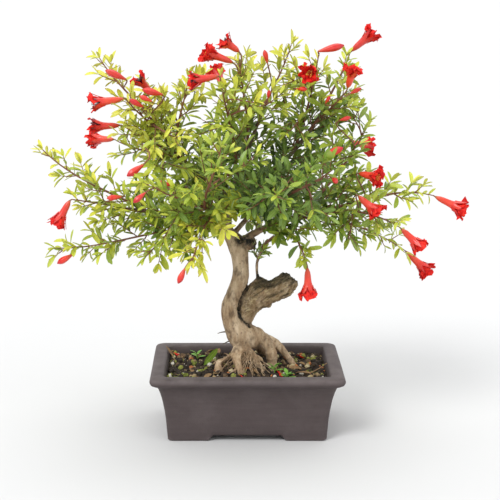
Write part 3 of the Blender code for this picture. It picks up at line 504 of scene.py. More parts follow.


# Wood: the tree's trunk with its cut stub, surface roots and main branches, all one growth. The
# bark is smooth and pale on the trunk, rough and dark on the stub and black on the healed cuts;
# the crease between trunk and stub and some hollows are painted black as painted shade.
# Trunk and stub in millimetres: centre points with the wood's radius there.
TRUNK = (
    ((-4.5, 5, 76.0), 8.8),
    ((-4.8, 5, 81.5), 11.0),
    ((-7.2, 5, 89.0), 12.6),
    ((-12.0, 5, 98.5), 10.6),
    ((-15.4, 5, 108.0), 9.0),
    ((-15.4, 5, 117.5), 8.7),
    ((-11.6, 5, 127.5), 8.4),
    ((-7.8, 5, 137.0), 8.3),
    ((-5.9, 5, 147.0), 8.0),
    ((-5.9, 5, 157.0), 7.8),
    ((-6.9, 5, 166.0), 8.4),
    ((-8.2, 5, 172.5), 9.3),
    ((-11.2, 5, 179.0), 8.8),
    ((-16.0, 5, 185.5), 6.5),
    ((-18.6, 5, 192.0), 4.9),
)
STUB = (
    ((-6.0, 5.0, 96.0), 9.0),
    ((-1.0, 5.0, 106.0), 8.2),
    ((2.5, 5.0, 114.5), 9.0),
    ((7.5, 5.0, 123.0), 12.0),
    ((13.5, 5.0, 129.5), 13.4),
    ((21.0, 4.6, 130.0), 11.0),
    ((28.0, 4.0, 132.5), 10.4),
    ((35.0, 3.0, 136.5), 10.6),
    ((40.5, 2.2, 139.2), 8.6),
    ((43.5, 2.0, 140.5), 5.2),
)
# Swellings and healed cuts in millimetres, with their radius.
BURRS = (
    ((12.0, 5, 138.5), 6.0),
    ((35.5, 3, 143.0), 5.8),
    ((41.0, 2, 138.0), 6.4),
    ((1.5, 5, 178.0), 7.4),
    ((19.0, 5, 120.0), 5.2),
    ((9.0, 5, 87.0), 8.6),
    ((3.0, 2.5, 90.0), 8.8),
    ((4.0, 3, 83.0), 8.4),
)
# Roots in millimetres: route, then the radius at the trunk and in the soil.
ROOTS = (
    (((4, 5, 88), (15, 4, 85), (23, 1, 74), (25, -2, 50)), 7.0, 5.0),
    (((8, 6, 87), (26, 6, 81), (38, 6, 68), (51, 4, 50)), 5.0, 2.4),
    (((-6, 2, 82), (-11, -6, 71), (-8, -17, 64), (-1, -32, 50)), 4.4, 3.0),
    (((-1, 0, 79), (6, -7, 67), (14, -17, 60), (20, -29, 50)), 3.0, 2.6),
    (((-6, 2, 74), (-20, -4, 66), (-27, -12, 64), (-25, -20, 50)), 2.4, 3.4),
    (((-6, 8, 74), (-18, 12, 62), (-29, 13, 57), (-38, 12, 48)), 2.8, 2.0),
    (((-6, 10, 78), (-14, 22, 62), (-22, 31, 55), (-28, 36, 48)), 3.6, 2.2),
    (((4, 9, 84), (12, 23, 70), (19, 34, 59), (22, 39, 50)), 5.0, 2.6),
    (((-4, 9, 84), (-4, 10, 72), (-3, 11, 58), (-3, 11, 36)), 7.0, 4.5),
)
# Finer roots between them, which fill the fan under the trunk.
FINE_ROOTS = (
    (((-8, 0, 77), (-12, -5, 74), (-17, -9, 71), (-25, -14, 66.5), (-31, -17, 60)), 1.5, 0.8),
    (((-10, -4, 68), (-16.6, -8, 71.5), (-22, -9.5, 74)), 1.0, 0.6),
    (((-4, -18, 64), (-12.8, -24, 61), (-22, -28, 56)), 1.0, 0.6),
    (((1, -2, 76), (8.8, -7, 71.5), (14, -11, 69), (18, -16, 60)), 1.3, 0.7),
    (((10, -8, 69), (16, -13, 66), (22, -17, 63), (28, -23, 55)), 1.2, 0.7),
    (((-3, -2, 76), (-6, -9, 72.5), (-6.3, -13, 69), (-5, -22, 56)), 1.7, 0.9),
    (((18, 8, 82), (30, 20, 70), (38, 26, 62), (44, 30, 54)), 2.8, 1.4),
    (((0, 14, 80), (-3, 26, 68), (-6, 35, 60), (-8, 42, 54)), 2.8, 1.5),
)
# Hair roots: how many, their radius in millimetres, and where they leave the wood and reach the
# soil: middle and half widths, in millimetres.
HAIR_ROOTS = 34
HAIR_RADII = (0.40, 0.18)
HAIR_START = ((-2, -3, 74), (10, 3, 3))
HAIR_END = ((0, -24, 57), (30, 9, 1))
# Dead snags on the left of the trunk in millimetres.
SNAGS = (((-19, 5, 91), (-24, 4.6, 90.6), (-28, 4, 89.4)), ((-14, 5, 83), (-19, 4, 81), (-23, 3, 79)))
# Main branches in millimetres: route, then the radius at its start and its end.
BRANCHES = {
    "leader": (((-18, 5, 190), (-18, 6, 214), (-6, 5, 250), (10, 2, 292)), 4.4, 1.8),
    "left_low": (((-16, 4, 188), (-46, -2, 200), (-80, -6, 208), (-112, -10, 213)), 3.4, 1.6),
    "left_high": (((-18, 6, 204), (-42, 9, 236), (-68, 8, 266), (-86, 4, 290)), 3.0, 1.4),
    "right_low": (((-6, 4, 180), (22, -3, 196), (56, -7, 208), (88, -6, 214)), 3.6, 1.6),
    "right_high": (((-17, 6, 218), (18, 11, 240), (46, 6, 268), (66, -2, 298)), 3.0, 1.4),
    "front_left": (((-17, 3, 194), (-26, -30, 212), (-40, -62, 222)), 2.8, 1.4),
    "front_right": (((-16, 4, 210), (8, -30, 224), (34, -60, 233)), 2.8, 1.4),
    "back_left": (((-17, 8, 200), (-30, 40, 222), (-46, 72, 238)), 2.8, 1.4),
    "back_right": (((-11, 8, 188), (12, 42, 206), (40, 76, 218)), 2.8, 1.4),
    "stub_twig": (((10.5, 5, 138), (9.5, 4, 158), (13, 0, 172)), 1.8, 1.3),
}
WOOD_VOXEL = 0.00075
ROUTE_STEPS = 25
KNOT_SWELL = 0.16
# Black spots in millimetres, with their reach: healed cuts, where the bark has turned black, and
# shaded hollows, whose black is painted shade.
BLACK_SPOTS = (
    ((1, 0, 181), 9.5),
    ((6, 3, 175), 6.0),
    ((-6, -2, 181.5), 7.0),
    ((12, 3, 146), 6.5),
    ((36, 1, 150), 6.0),
    ((46, 1, 142), 4.0),
)
# The way the stub runs, along which its dead wood is furrowed.
STUB_WAY = Vector((0.84, -0.06, 0.54)).normalized()
STUB_PITCH = math.asin(STUB_WAY.z)
# The deep crease between trunk and stub, seen from the front: across and up, in millimetres. It is
# carved in and marked black, as painted shade.
CREASE = ((5, 145), (3, 140), (-1.5, 132), (-6, 122), (-7.5, 112), (-5, 105), (2.5, 98.5))
CREASE_HALF = 0.0011
CREASE_DEPTH = 0.0022
BARK_RELIEF = 0.00042
STUB_RELIEF = 0.0013
SNAG_RADII = (0.0008, 0.00025)


def smooth_route(points, count=ROUTE_STEPS):
    """Points on a smooth curve through the given ones, which are in millimetres."""
    knots = [Vector(p) * MM for p in points]
    knots = [2 * knots[0] - knots[1]] + knots + [2 * knots[-1] - knots[-2]]
    spans = len(knots) - 3
    route = []
    for i in range(count):
        along = spans * i / (count - 1)
        k = min(int(along), spans - 1)
        t = along - k
        a, b, c, d = knots[k : k + 4]
        bend = (c - a) * t + (2 * a - 5 * b + 4 * c - d) * t**2 + (3 * b - a - 3 * c + d) * t**3
        route.append(b + 0.5 * bend)
    return route


def tapered(start, end, count):
    return [start + (end - start) * i / (count - 1) for i in range(count)]


def tubes(runs, resolution):
    """One mesh of closed round bars, each along points with radii."""
    curve = bpy.data.curves.new("tubes", "CURVE")
    curve.dimensions = "3D"
    curve.bevel_depth = 1.0
    curve.bevel_resolution = resolution
    curve.use_fill_caps = True
    for route, radii in runs:
        spline = curve.splines.new("POLY")
        spline.points.add(len(route) - 1)
        for point, place, radius in zip(spline.points, route, radii):
            point.co = (*place, 1.0)
            point.radius = radius
    holder = bpy.data.objects.new("tubes", curve)
    scene.collection.objects.link(holder)
    bm = baked(holder, bmesh.new())
    bpy.data.curves.remove(curve)
    bmesh.ops.remove_doubles(bm, verts=bm.verts[:], dist=1e-6)
    bmesh.ops.recalc_face_normals(bm, faces=bm.faces[:])
    mesh = bpy.data.meshes.new("tubes")
    bm.to_mesh(mesh)
    bm.free()
    return mesh


def knotty(route, radii, swell=KNOT_SWELL, pitch=120.0):
    """Radii with the slight swellings that wood has where shoots once grew."""
    return [r * (1 + swell * noise.noise(p * pitch)) for p, r in zip(route, radii)]


def wood_run(points):
    """Route and radii through a table of centre points with radii."""
    count = 4 * len(points)
    route = smooth_route([p for p, _ in points], count)
    radii = [p.x for p in smooth_route([(radius, 0, 0) for _, radius in points], count)]
    return route, radii


def nearest(place, route):
    return min((place - point).length_squared for point in route) ** 0.5


def clamp(value, low=0.0, high=1.0):
    return max(low, min(high, value))


def facing(ahead, up):
    """Turn of a form made along +X with its face to +Z, so that it points ahead and faces up."""
    up = (up - ahead * up.dot(ahead)).normalized()
    return Matrix((ahead, up.cross(ahead), up)).transposed().to_4x4()


def add_mesh(bm, mesh, finish=0, matrix=None, marks=None):
    """Adds a placed copy of a mesh to a piece under way, with its finish and its marked values."""
    part = mesh.copy()
    if matrix is not None:
        part.transform(matrix)
    part.polygons.foreach_set("material_index", [finish] * len(part.polygons))
    for name, value in (marks or {}).items():
        layer = part.attributes.get(name) or part.attributes.new(name, "FLOAT", "POINT")
        layer.data.foreach_set("value", [value] * len(part.vertices))
    bm.from_mesh(part)
    bpy.data.meshes.remove(part)


def carve_bark(bm):
    """Raises the bark's relief and marks each point: how rough, how black and how deep it is."""
    rough_layer = bm.verts.layers.float.new("rough")
    black_layer = bm.verts.layers.float.new("black")
    deep_layer = bm.verts.layers.float.new("deep")
    trunk_line = wood_run(TRUNK)[0]
    stub_line = wood_run(STUB)[0]
    spots = [(Vector(p) * MM, reach * MM) for p, reach in BLACK_SPOTS]
    crease = smooth_route([(x, 0, z) for x, z in CREASE], 60)
    bm.normal_update()
    for vert in bm.verts:
        place, normal = vert.co.copy(), vert.normal.copy()
        rough = 0.0
        if 0.094 < place.z < 0.156 and place.x > -0.012:
            nearer = nearest(place, trunk_line) - nearest(place, stub_line)
            rough = clamp(0.5 + nearer / 0.006) * clamp((place.z - 0.100) / 0.012)
        black = 0.0
        for spot, reach in spots:
            ragged = reach * (1 + 0.5 * noise.noise(place * 300))
            black = max(black, clamp(1.6 - 1.6 * (place - spot).length / ragged))
        # Painted shade: the crease and the stub's bark round it are marked black.
        groove = 0.0
        if place.y < 0.006 and 0.094 < place.z < 0.150:
            away = nearest(Vector((place.x, 0, place.z)), crease)
            away += 0.0007 * noise.noise(place * 420)
            groove = clamp(1.6 - away / CREASE_HALF) * clamp((0.149 - place.z) / 0.006)
            black = max(black, groove, 0.8 * clamp(1.5 - 0.5 * away / CREASE_HALF) * rough)
        if rough > 0.0:
            black = max(black, 0.75 * rough * clamp(2.2 * normal.z - 0.6))
        thin = 0.35 if place.z > 0.198 else 1.0
        broad = noise.fractal(place * 90, 1.0, 2.0, 3)
        fine = noise.fractal(Vector((place.x * 420, place.y * 420, place.z * 230)), 0.9, 2.0, 4)
        drawn = place - 0.72 * STUB_WAY * place.dot(STUB_WAY)
        plates = noise.ridged_multi_fractal(drawn * 260, 0.9, 2.1, 4, 1.0, 2.0) - 1.1
        plates *= 1 + clamp((place.x - 0.034) / 0.010)
        relief = 0.55 * broad + 0.45 * fine
        lift = thin * BARK_RELIEF * relief + rough * STUB_RELIEF * plates + black * 0.0004 * fine
        lift -= CREASE_DEPTH * min(groove, 1.0)
        vert.co = place + normal * lift
        vert[rough_layer] = rough
        vert[black_layer] = black
        vert[deep_layer] = clamp(0.5 - 0.9 * relief - 0.5 * rough * plates)


def bark_finish():
    """Pomegranate bark: pale grey tan with brown patches and fine cracks, olive and black growths,
    black healed cuts and black painted shade in the crease and hollows.
    """
    material, tree, shader = new_finish("bark", Roughness=0.82)
    place = coordinates(tree)
    flaky = coordinates(tree, (1.3, 1.3, 0.32))
    height = add_node(tree, "SeparateXYZ", {"Vector": place}).outputs["Z"]
    colour = ramp(
        tree,
        mottle(tree, flaky, 120.0, 0.30, 0.72, 6.0),
        ((0.0, (0.190, 0.108, 0.052)), (0.34, (0.400, 0.275, 0.160)), (1.0, (0.720, 0.570, 0.390))),
    )
    low_down = span(tree, height, 0.088, 0.066)
    warm = sums(tree, "MULTIPLY", low_down, mottle(tree, place, 160.0, 0.35, 0.65))
    colour = stain(tree, colour, warm, 0.55, (0.420, 0.275, 0.160, 1))
    deep = span(tree, attribute(tree, "deep"), 0.50, 0.95)
    colour = stain(tree, colour, deep, 0.68, (0.100, 0.062, 0.034, 1))
    stub = sums(tree, "MULTIPLY", attribute(tree, "rough"), mottle(tree, place, 230.0, 0.30, 0.60))
    colour = stain(tree, colour, stub, 0.72, (0.185, 0.120, 0.042, 1))
    furrow = add_node(tree, "Mapping", {"Vector": place, "Rotation": (0, STUB_PITCH, 0)}).outputs[0]
    furrow = add_node(tree, "Mapping", {"Vector": furrow, "Scale": (0.25, 1, 1)}).outputs[0]
    pale = sums(tree, "MULTIPLY", attribute(tree, "rough"), mottle(tree, furrow, 420.0, 0.52, 0.66))
    colour = stain(tree, colour, pale, 0.70, (0.560, 0.460, 0.250, 1))
    dark = sums(tree, "MULTIPLY", attribute(tree, "rough"), mottle(tree, furrow, 300.0, 0.50, 0.36))
    colour = stain(tree, colour, dark, 0.80, (0.035, 0.026, 0.010, 1))
    freckle = mottle(tree, place, 480.0, 0.60, 0.72, 2.0)
    colour = stain(tree, colour, freckle, 0.62, (0.100, 0.066, 0.036, 1))
    upper = sums(tree, "MULTIPLY", span(tree, height, 0.186, 0.215), 0.80)
    colour = blend(tree, upper, colour, (0.090, 0.060, 0.038, 1))
    # Black: healed cuts, snags and growths, with painted shade in the crease and the shaded hollows.
    black = sums(tree, "MULTIPLY", attribute(tree, "black"), mottle(tree, place, 380.0, 0.22, 0.5))
    colour = blend(tree, black, colour, (0.014, 0.013, 0.008, 1))
    tree.links.new(colour, shader.inputs["Base Color"])
    cracks = mottle(tree, coordinates(tree, (1.0, 1.0, 0.3)), 900.0, detail=8.0)
    grain = sums(tree, "ADD", cracks, mottle(tree, place, 260.0, detail=5.0))
    raise_bumps(tree, shader, grain, 0.0007, 0.8)
    return material


runs = [wood_run(TRUNK), wood_run(STUB)]
for points, start, end in ROOTS + FINE_ROOTS:
    route = smooth_route(points)
    runs.append((route, knotty(route, tapered(start * MM, end * MM, len(route)), 0.30, 200.0)))
for points, start, end in BRANCHES.values():
    route = smooth_route(points)
    runs.append((route, knotty(route, tapered(start * MM, end * MM, len(route)))))
bm = bmesh.new()
bm.from_mesh(tubes(runs, 4))
for centre, radius in BURRS:
    at = Matrix.Translation(Vector(centre) * MM)
    bmesh.ops.create_icosphere(bm, subdivisions=4, radius=radius * MM, matrix=at)
rough_wood = new_piece("rough_wood", bm, [])
skin = rough_wood.modifiers.new("skin", "REMESH")
skin.mode = "VOXEL"
skin.voxel_size = WOOD_VOXEL
ease = rough_wood.modifiers.new("ease", "SMOOTH")
ease.factor = 0.5
ease.iterations = 5
bm = baked(rough_wood, bmesh.new())
carve_bark(bm)
hairs = []
draw = random.Random("hair roots")
for _ in range(HAIR_ROOTS):
    knots = []
    for centre, reach in (HAIR_START, HAIR_END):
        knots.append([c + draw.uniform(-1, 1) * r for c, r in zip(centre, reach)])
    start, end = map(Vector, knots)
    swing = [Vector((draw.gauss(0, 3.0), draw.gauss(-2, 2.0), draw.gauss(1, 1.5))) for _ in range(2)]
    knots = (start, start.lerp(end, 0.33) + swing[0], start.lerp(end, 0.68) + swing[1], end)
    route = smooth_route(knots, 12)
    thick = draw.uniform(0.7, 1.3) * MM
    hairs.append((route, tapered(HAIR_RADII[0] * thick, HAIR_RADII[1] * thick, 12)))
add_mesh(bm, tubes(hairs, 0))
snags = [(smooth_route(points, 8), tapered(*SNAG_RADII, 8)) for points in SNAGS]
add_mesh(bm, tubes(snags, 1), marks={"black": 0.8})
bark = bark_finish()
wood = new_piece("trunk_and_roots", bm, [bark], 80.0)
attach(wood, "root")
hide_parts("trunk")


# Flowers: a fleshy red calyx drawn out into six points, crumpled petals in its mouth and yellow
# stamens. Faded ones hold dark dried stamens, and buds are closed. Each sits on a thin stalk.
# The spray and how far along it the stalk leaves, then in millimetres the base and the mouth.
BLOOMS = {
    "spent_top": ("top_left_pair", 0.80, (-8, -14, 357), (-23, -17, 368), "faded"),
    "open_top_left": ("top_left_pair", 0.72, (-14, -22, 348), (-39, -27, 359), "open"),
    "open_top_front": ("top_left_front", 1.00, (-27, -41, 337), (-53, -45, 333), "faded"),
    "bud_upper_left": ("upper_left", 0.55, (-111, -4, 331.5), (-129.5, -6, 340), "bud"),
    "spent_upper_left": ("upper_left", 0.40, (-88, -6, 320), (-101, -11, 334.5), "faded"),
    "bud_left_crest": ("upper_left_front", 0.45, (-77, -20, 319), (-95, -24, 324), "bud"),
    "open_left_crest": ("upper_left_front", 1.00, (-112, -25.5, 316), (-142, -28.5, 311), "faded"),
    "open_left": ("mid_left", 1.00, (-118, 3, 289), (-146, 1, 287), "faded"),
    "open_left_hanging": ("left_flower_arm", 1.00, (-161, -35.5, 225), (-174, -36.5, 203), "open"),
    "long_bud_top": ("top_right_stem", 0.97, (63, -17, 357.5), (86, -18, 363), "bud"),
    "open_top_right": ("top_right_reach", 1.00, (96.5, 20.3, 356), (117, 21, 374), "open"),
    "open_top_facing": ("top_right_stem", 0.80, (59, -22, 342), (53, -44, 340), "open"),
    "open_right_upper": ("right_upper", 1.00, (88.5, -30.5, 326), (94, -33.5, 344), "open"),
    "bud_right_front": ("front_right", 0.80, (64, -86, 272), (80, -91, 280), "bud"),
    "open_right_side": ("right_reach", 0.30, (100, -36, 250), (117, -48, 247), "open"),
    "open_right_cluster": ("right_low", 0.45, (98, -52, 232), (115, -58, 216), "open"),
    "open_right_far": ("right_reach", 1.00, (171.8, -20.3, 226), (199, -22.5, 213.5), "open"),
    "open_right_low": ("right_low", 1.00, (137.5, -50.3, 201.5), (156, -53, 185), "open"),
    "open_right_lowest": ("right_lowest", 1.00, (151.5, 12, 167.8), (173, 10, 147), "open"),
    "open_hanging": ("hanging_right", 1.00, (53, -60.2, 168), (54, -61, 142), "open"),
    "open_back_top": ("back_top", 1.00, (-21, 87.5, 317.2), (-30, 108, 332), "open"),
    "open_back_left": ("back_left_mid", 1.00, (-129.5, 67, 268.2), (-153, 78, 268), "open"),
    "open_back_right": ("back_right_mid", 1.00, (105.5, 89, 262.5), (125, 106, 258), "open"),
}
FLOWER_STEPS = 36
LOBES = 6
# Calyx from the stalk up its outside, over the rim and down its inside: the share of the length
# and the radius in millimetres.
CALYX_PROFILE = (
    (0.00, 0.00),
    (0.00, 0.90),
    (0.05, 1.45),
    (0.14, 2.35),
    (0.25, 2.85),
    (0.38, 3.05),
    (0.52, 3.45),
    (0.60, 4.00),
    (0.67, 4.60),
    (0.74, 5.30),
    (0.76, 5.00),
    (0.67, 4.10),
    (0.54, 2.90),
    (0.48, 0.00),
)
BUD_PROFILE = (
    (0.00, 0.00),
    (0.00, 0.90),
    (0.10, 1.35),
    (0.20, 1.90),
    (0.34, 2.60),
    (0.50, 3.10),
    (0.64, 3.25),
    (0.76, 2.95),
    (0.86, 2.20),
    (0.94, 1.30),
    (1.00, 0.35),
    (1.00, 0.00),
)
LOBE_START = 0.55
LOBE_RISE = 0.34
LOBE_FLARE = {"open": 0.0036, "faded": 0.0042}
BEND = 0.09
PETALS = {"open": 8, "faded": 3}
PETAL_CELLS = (7, 6)
PETAL_THICKNESS = 0.00018
STAMENS = {"open": 14, "faded": 24}
ANTHER_RADIUS = 0.00042
CALYX, PETAL, STAMEN, DRIED, STALK = range(5)


def lathe(profile, length, ridge):
    """A closed turned body along +Z with shallow ribs; each point is marked with its share."""
    bm = bmesh.new()
    bm.verts.layers.float.new("tip")
    share = bm.verts.layers.float.new("share")
    line = []
    for along, radius in profile:
        vert = bm.verts.new((radius * MM, 0, along * length))
        vert[share] = along
        line.append(vert)
    edges = [bm.edges.new(pair) for pair in zip(line, line[1:])]
    bmesh.ops.spin(
        bm,
        geom=line + edges,
        cent=(0, 0, 0),
        axis=(0, 0, 1),
        angle=math.tau,
        steps=FLOWER_STEPS,
        use_merge=True,
    )
    bmesh.ops.remove_doubles(bm, verts=bm.verts[:], dist=1e-6)
    bmesh.ops.recalc_face_normals(bm, faces=bm.faces[:])
    for vert in bm.verts:
        ribs = 1 + ridge * vert[share] * math.cos(LOBES * math.atan2(vert.co.y, vert.co.x))
        vert.co.x *= ribs
        vert.co.y *= ribs
    return bm


def draw_lobes(bm, length, flare, draw):
    """Draws the rim of a calyx out into pointed lobes that lean outwards."""
    share = bm.verts.layers.float["share"]
    tip_layer = bm.verts.layers.float["tip"]
    tips = [draw.uniform(0.55, 1.35) for _ in range(LOBES)]
    for vert in bm.verts:
        out = Vector((vert.co.x, vert.co.y, 0))
        if vert[share] < LOBE_START or out.length < 0.0005:
            continue
        turns = (math.atan2(out.y, out.x) / math.tau) % 1.0 * LOBES
        tip = tips[int(turns + 0.5) % LOBES]
        point = 1 - 2 * abs(turns - round(turns))
        reach = clamp((vert[share] - LOBE_START) / 0.19) ** 2
        vert.co.z += (point - 0.45) * reach * LOBE_RISE * length * tip
        vert.co += out.normalized() * flare * (point**1.5 - 0.1) * reach * tip
        vert[tip_layer] = point * reach


def lean_over(bm, length, bend):
    """Bends a form made along +Z a little to one side."""
    for vert in bm.verts:
        vert.co.x += bend * vert.co.z * vert.co.z / length


def crumpled_petal(length, index, count, draw):
    """One petal: a thin fan that leaves the mouth, opens outwards and is creased all over."""
    bm = bmesh.new()
    bm.loops.layers.uv.new("UVMap")
    across, along = PETAL_CELLS
    bmesh.ops.create_grid(bm, x_segments=across, y_segments=along, size=1.0, calc_uvs=True)
    middle = math.tau * (index + draw.uniform(-0.2, 0.2)) / count
    seed = Vector((draw.uniform(0, 50), draw.uniform(0, 50), draw.uniform(0, 50)))
    open_out = draw.uniform(0.7, 1.25)
    for vert in bm.verts:
        side, up = vert.co.x, (vert.co.y + 1) / 2
        spread = 0.30 + 0.36 * up * (1.3 - 0.5 * up)
        angle = middle + side * spread
        radius = 0.0026 + 0.0056 * open_out * up**1.4
        height = (0.58 + 0.44 * up - 0.13 * side * side * up) * length
        place = Vector((radius * math.cos(angle), radius * math.sin(angle), height))
        vert.co = place + 0.0044 * up * noise.noise_vector(place * 340 + seed)
    bmesh.ops.solidify(bm, geom=bm.faces[:], thickness=PETAL_THICKNESS)
    bmesh.ops.recalc_face_normals(bm, faces=bm.faces[:])
    return bm


def stamen_runs(kind, length, draw):
    """Filaments in the mouth: short and straight in an open flower, long and curled in a faded one."""
    runs = []
    for _ in range(STAMENS[kind]):
        angle = draw.uniform(0, math.tau)
        out = Vector((math.cos(angle), math.sin(angle), 0))
        foot = out * draw.uniform(0.0004, 0.0022) + Vector((0, 0, 0.52 * length))
        if kind == "open":
            tip = foot * 1.0 + out * 0.0008 + Vector((0, 0, draw.uniform(0.34, 0.42) * length))
            runs.append(([foot, tip], [0.00012, 0.00010]))
            continue
        rise = draw.uniform(0.24, 0.42) * length
        side = out * draw.uniform(0.0006, 0.0026)
        curl = Vector((draw.uniform(-1, 1), draw.uniform(-1, 1), draw.uniform(-1, 0.2))) * 0.0018
        middle = foot + Vector((0, 0, rise)) * 0.7 + side * 0.4
        end = foot + Vector((0, 0, rise)) + side
        runs.append(([foot, middle, end, end + curl], [0.00020, 0.00026, 0.00042, 0.00022]))
    return runs


def add_form(bm, form, finish=0, matrix=None, marks=None):
    """Adds a form that was modelled on its own to a piece under way."""
    mesh = bpy.data.meshes.new("form")
    form.to_mesh(mesh)
    form.free()
    add_mesh(bm, mesh, finish, matrix, marks)
    bpy.data.meshes.remove(mesh)


def stand(base, mouth):
    """Place and turn of a form made along +Z that stands on base and looks at mouth."""
    turn = (mouth - base).to_track_quat("Z", "Y").to_matrix().to_4x4()
    return Matrix.Translation(base) @ turn


def add_flower(bm, kind, base, mouth, draw):
    """One flower or bud: its calyx and all that stands in its mouth."""
    length = (mouth - base).length
    matrix = stand(base, mouth) @ Matrix.Rotation(draw.uniform(0, math.tau), 4, "Z")
    marks = {"tone": draw.random(), "faded": 1.0 if kind == "faded" else 0.0}
    bend = draw.uniform(0.3, 1.0) * BEND
    if kind == "bud":
        slim = clamp(length / 0.018, 0.45, 1.0)
        profile = [(share, radius * slim) for share, radius in BUD_PROFILE]
        add_form(bm, lathe(profile, length, 0.10), CALYX, matrix, marks)
        return
    calyx = lathe(CALYX_PROFILE, length, 0.045)
    draw_lobes(calyx, length, LOBE_FLARE[kind], draw)
    lean_over(calyx, length, bend)
    add_form(bm, calyx, CALYX, matrix, marks)
    for index in range(PETALS[kind]):
        petal = crumpled_petal(length, index, PETALS[kind], draw)
        lean_over(petal, length, bend)
        add_form(bm, petal, PETAL, matrix, {"tone": draw.random()})
    runs = stamen_runs(kind, length, draw)
    for route, _ in runs:
        for point in route:
            point.x += bend * point.z * point.z / length
    add_mesh(bm, tubes(runs, 0), STAMEN if kind == "open" else DRIED, matrix)
    if kind == "open":
        for route, _ in runs:
            anther = bmesh.new()
            at = Matrix.Translation(route[-1])
            bmesh.ops.create_icosphere(anther, subdivisions=1, radius=ANTHER_RADIUS, matrix=at)
            add_form(bm, anther, STAMEN, matrix)


def calyx_finish():
    """Thick waxy calyx: orange red, yellower at the stalk, darker and pinker towards the points."""
    material, tree, shader = new_finish("calyx", Roughness=0.34, Coat_Weight=0.25)
    shader.inputs["Coat Roughness"].default_value = 0.22
    place = coordinates(tree)
    colour = ramp(
        tree,
        attribute(tree, "share"),
        (
            (0.00, (0.380, 0.150, 0.030)),
            (0.08, (0.640, 0.060, 0.014)),
            (0.45, (0.800, 0.034, 0.012)),
            (0.75, (0.700, 0.014, 0.010)),
            (1.00, (0.480, 0.006, 0.010)),
        ),
    )
    # Painted highlight: lighter orange patches laid over the calyx.
    painted_highlight_patches = mottle(tree, place, 190.0, 0.42, 0.72)
    colour = stain(tree, colour, painted_highlight_patches, 0.50, (0.900, 0.130, 0.045, 1))
    deeper = sums(tree, "MULTIPLY", attribute(tree, "tone"), 0.50)
    colour = blend(tree, deeper, colour, (0.500, 0.006, 0.022, 1))
    pointed = span(tree, attribute(tree, "tip"), 0.45, 1.0)
    colour = stain(tree, colour, pointed, 0.55, (0.300, 0.004, 0.010, 1))
    withered = sums(tree, "MULTIPLY", pointed, attribute(tree, "faded"))
    colour = blend(tree, withered, colour, (0.040, 0.006, 0.014, 1))
    tree.links.new(colour, shader.inputs["Base Color"])
    pores = mottle(tree, place, 1400.0, detail=3.0)
    raise_bumps(tree, shader, sums(tree, "ADD", pores, mottle(tree, place, 300.0)), 0.0002, 0.5)
    return material


def petal_finish():
    """Thin silky petal: clear red, darker and lighter in mottled patches, with paler streaks from its
    foot.
    """
    material, tree, shader = new_finish("petal", Roughness=0.58, Specular_IOR_Level=0.25)
    place = coordinates(tree)
    colour = ramp(
        tree,
        mottle(tree, place, 340.0, 0.32, 0.70, 5.0),
        ((0.0, (0.480, 0.004, 0.006)), (0.5, (0.760, 0.012, 0.009)), (1.0, (0.900, 0.050, 0.020))),
    )
    streaks = mottle(tree, add_node(tree, "UVMap").outputs[0], 22.0, 0.55, 0.75)
    colour = stain(tree, colour, streaks, 0.35, (0.850, 0.100, 0.050, 1))
    tree.links.new(colour, shader.inputs["Base Color"])
    raise_bumps(tree, shader, mottle(tree, place, 800.0, detail=5.0), 0.0004, 0.7)
    return material


def thread_finish(name, dark, light):
    """Stamens: fine threads with grainy ends, from a dark to a light colour."""
    material, tree, shader = new_finish(name, Roughness=0.6)
    place = coordinates(tree)
    colour = blend(tree, mottle(tree, place, 700.0, 0.35, 0.65), dark, light)
    tree.links.new(colour, shader.inputs["Base Color"])
    raise_bumps(tree, shader, mottle(tree, place, 2500.0), 0.0001)
    return material


def twig_finish():
    """Twigs: smooth red brown young bark, greyer where it is old."""
    material, tree, shader = new_finish("twig", Roughness=0.60)
    place = coordinates(tree)
    colour = ramp(
        tree,
        attribute(tree, "tone"),
        ((0.0, (0.300, 0.105, 0.050)), (0.5, (0.185, 0.070, 0.038)), (1.0, (0.095, 0.060, 0.038))),
    )
    patches = sums(tree, "MULTIPLY", mottle(tree, place, 500.0, 0.45, 0.70), 0.45)
    colour = blend(tree, patches, colour, (0.300, 0.190, 0.110, 1))
    tree.links.new(colour, shader.inputs["Base Color"])
    raise_bumps(tree, shader, mottle(tree, place, 1300.0), 0.0003, 0.6)
    return material


FLOWER_FINISHES = [
    calyx_finish(),
    petal_finish(),
    thread_finish("stamens", (0.70, 0.33, 0.03, 1), (0.90, 0.62, 0.10, 1)),
    thread_finish("dried_stamens", (0.022, 0.006, 0.008, 1), (0.120, 0.020, 0.022, 1)),
    twig_finish(),
]
bloom_lines = []
for name, (_, _, base, mouth, kind) in BLOOMS.items():
    base, mouth = Vector(base) * MM, Vector(mouth) * MM
    bloom_lines.append((base, mouth))
    bm = bmesh.new()
    add_flower(bm, kind, base, mouth, random.Random("flower " + name))
    flower = new_piece("flower_" + name, bm, FLOWER_FINISHES[:STALK], 70.0)
    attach(flower, "root")
    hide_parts("bloom_" + name)
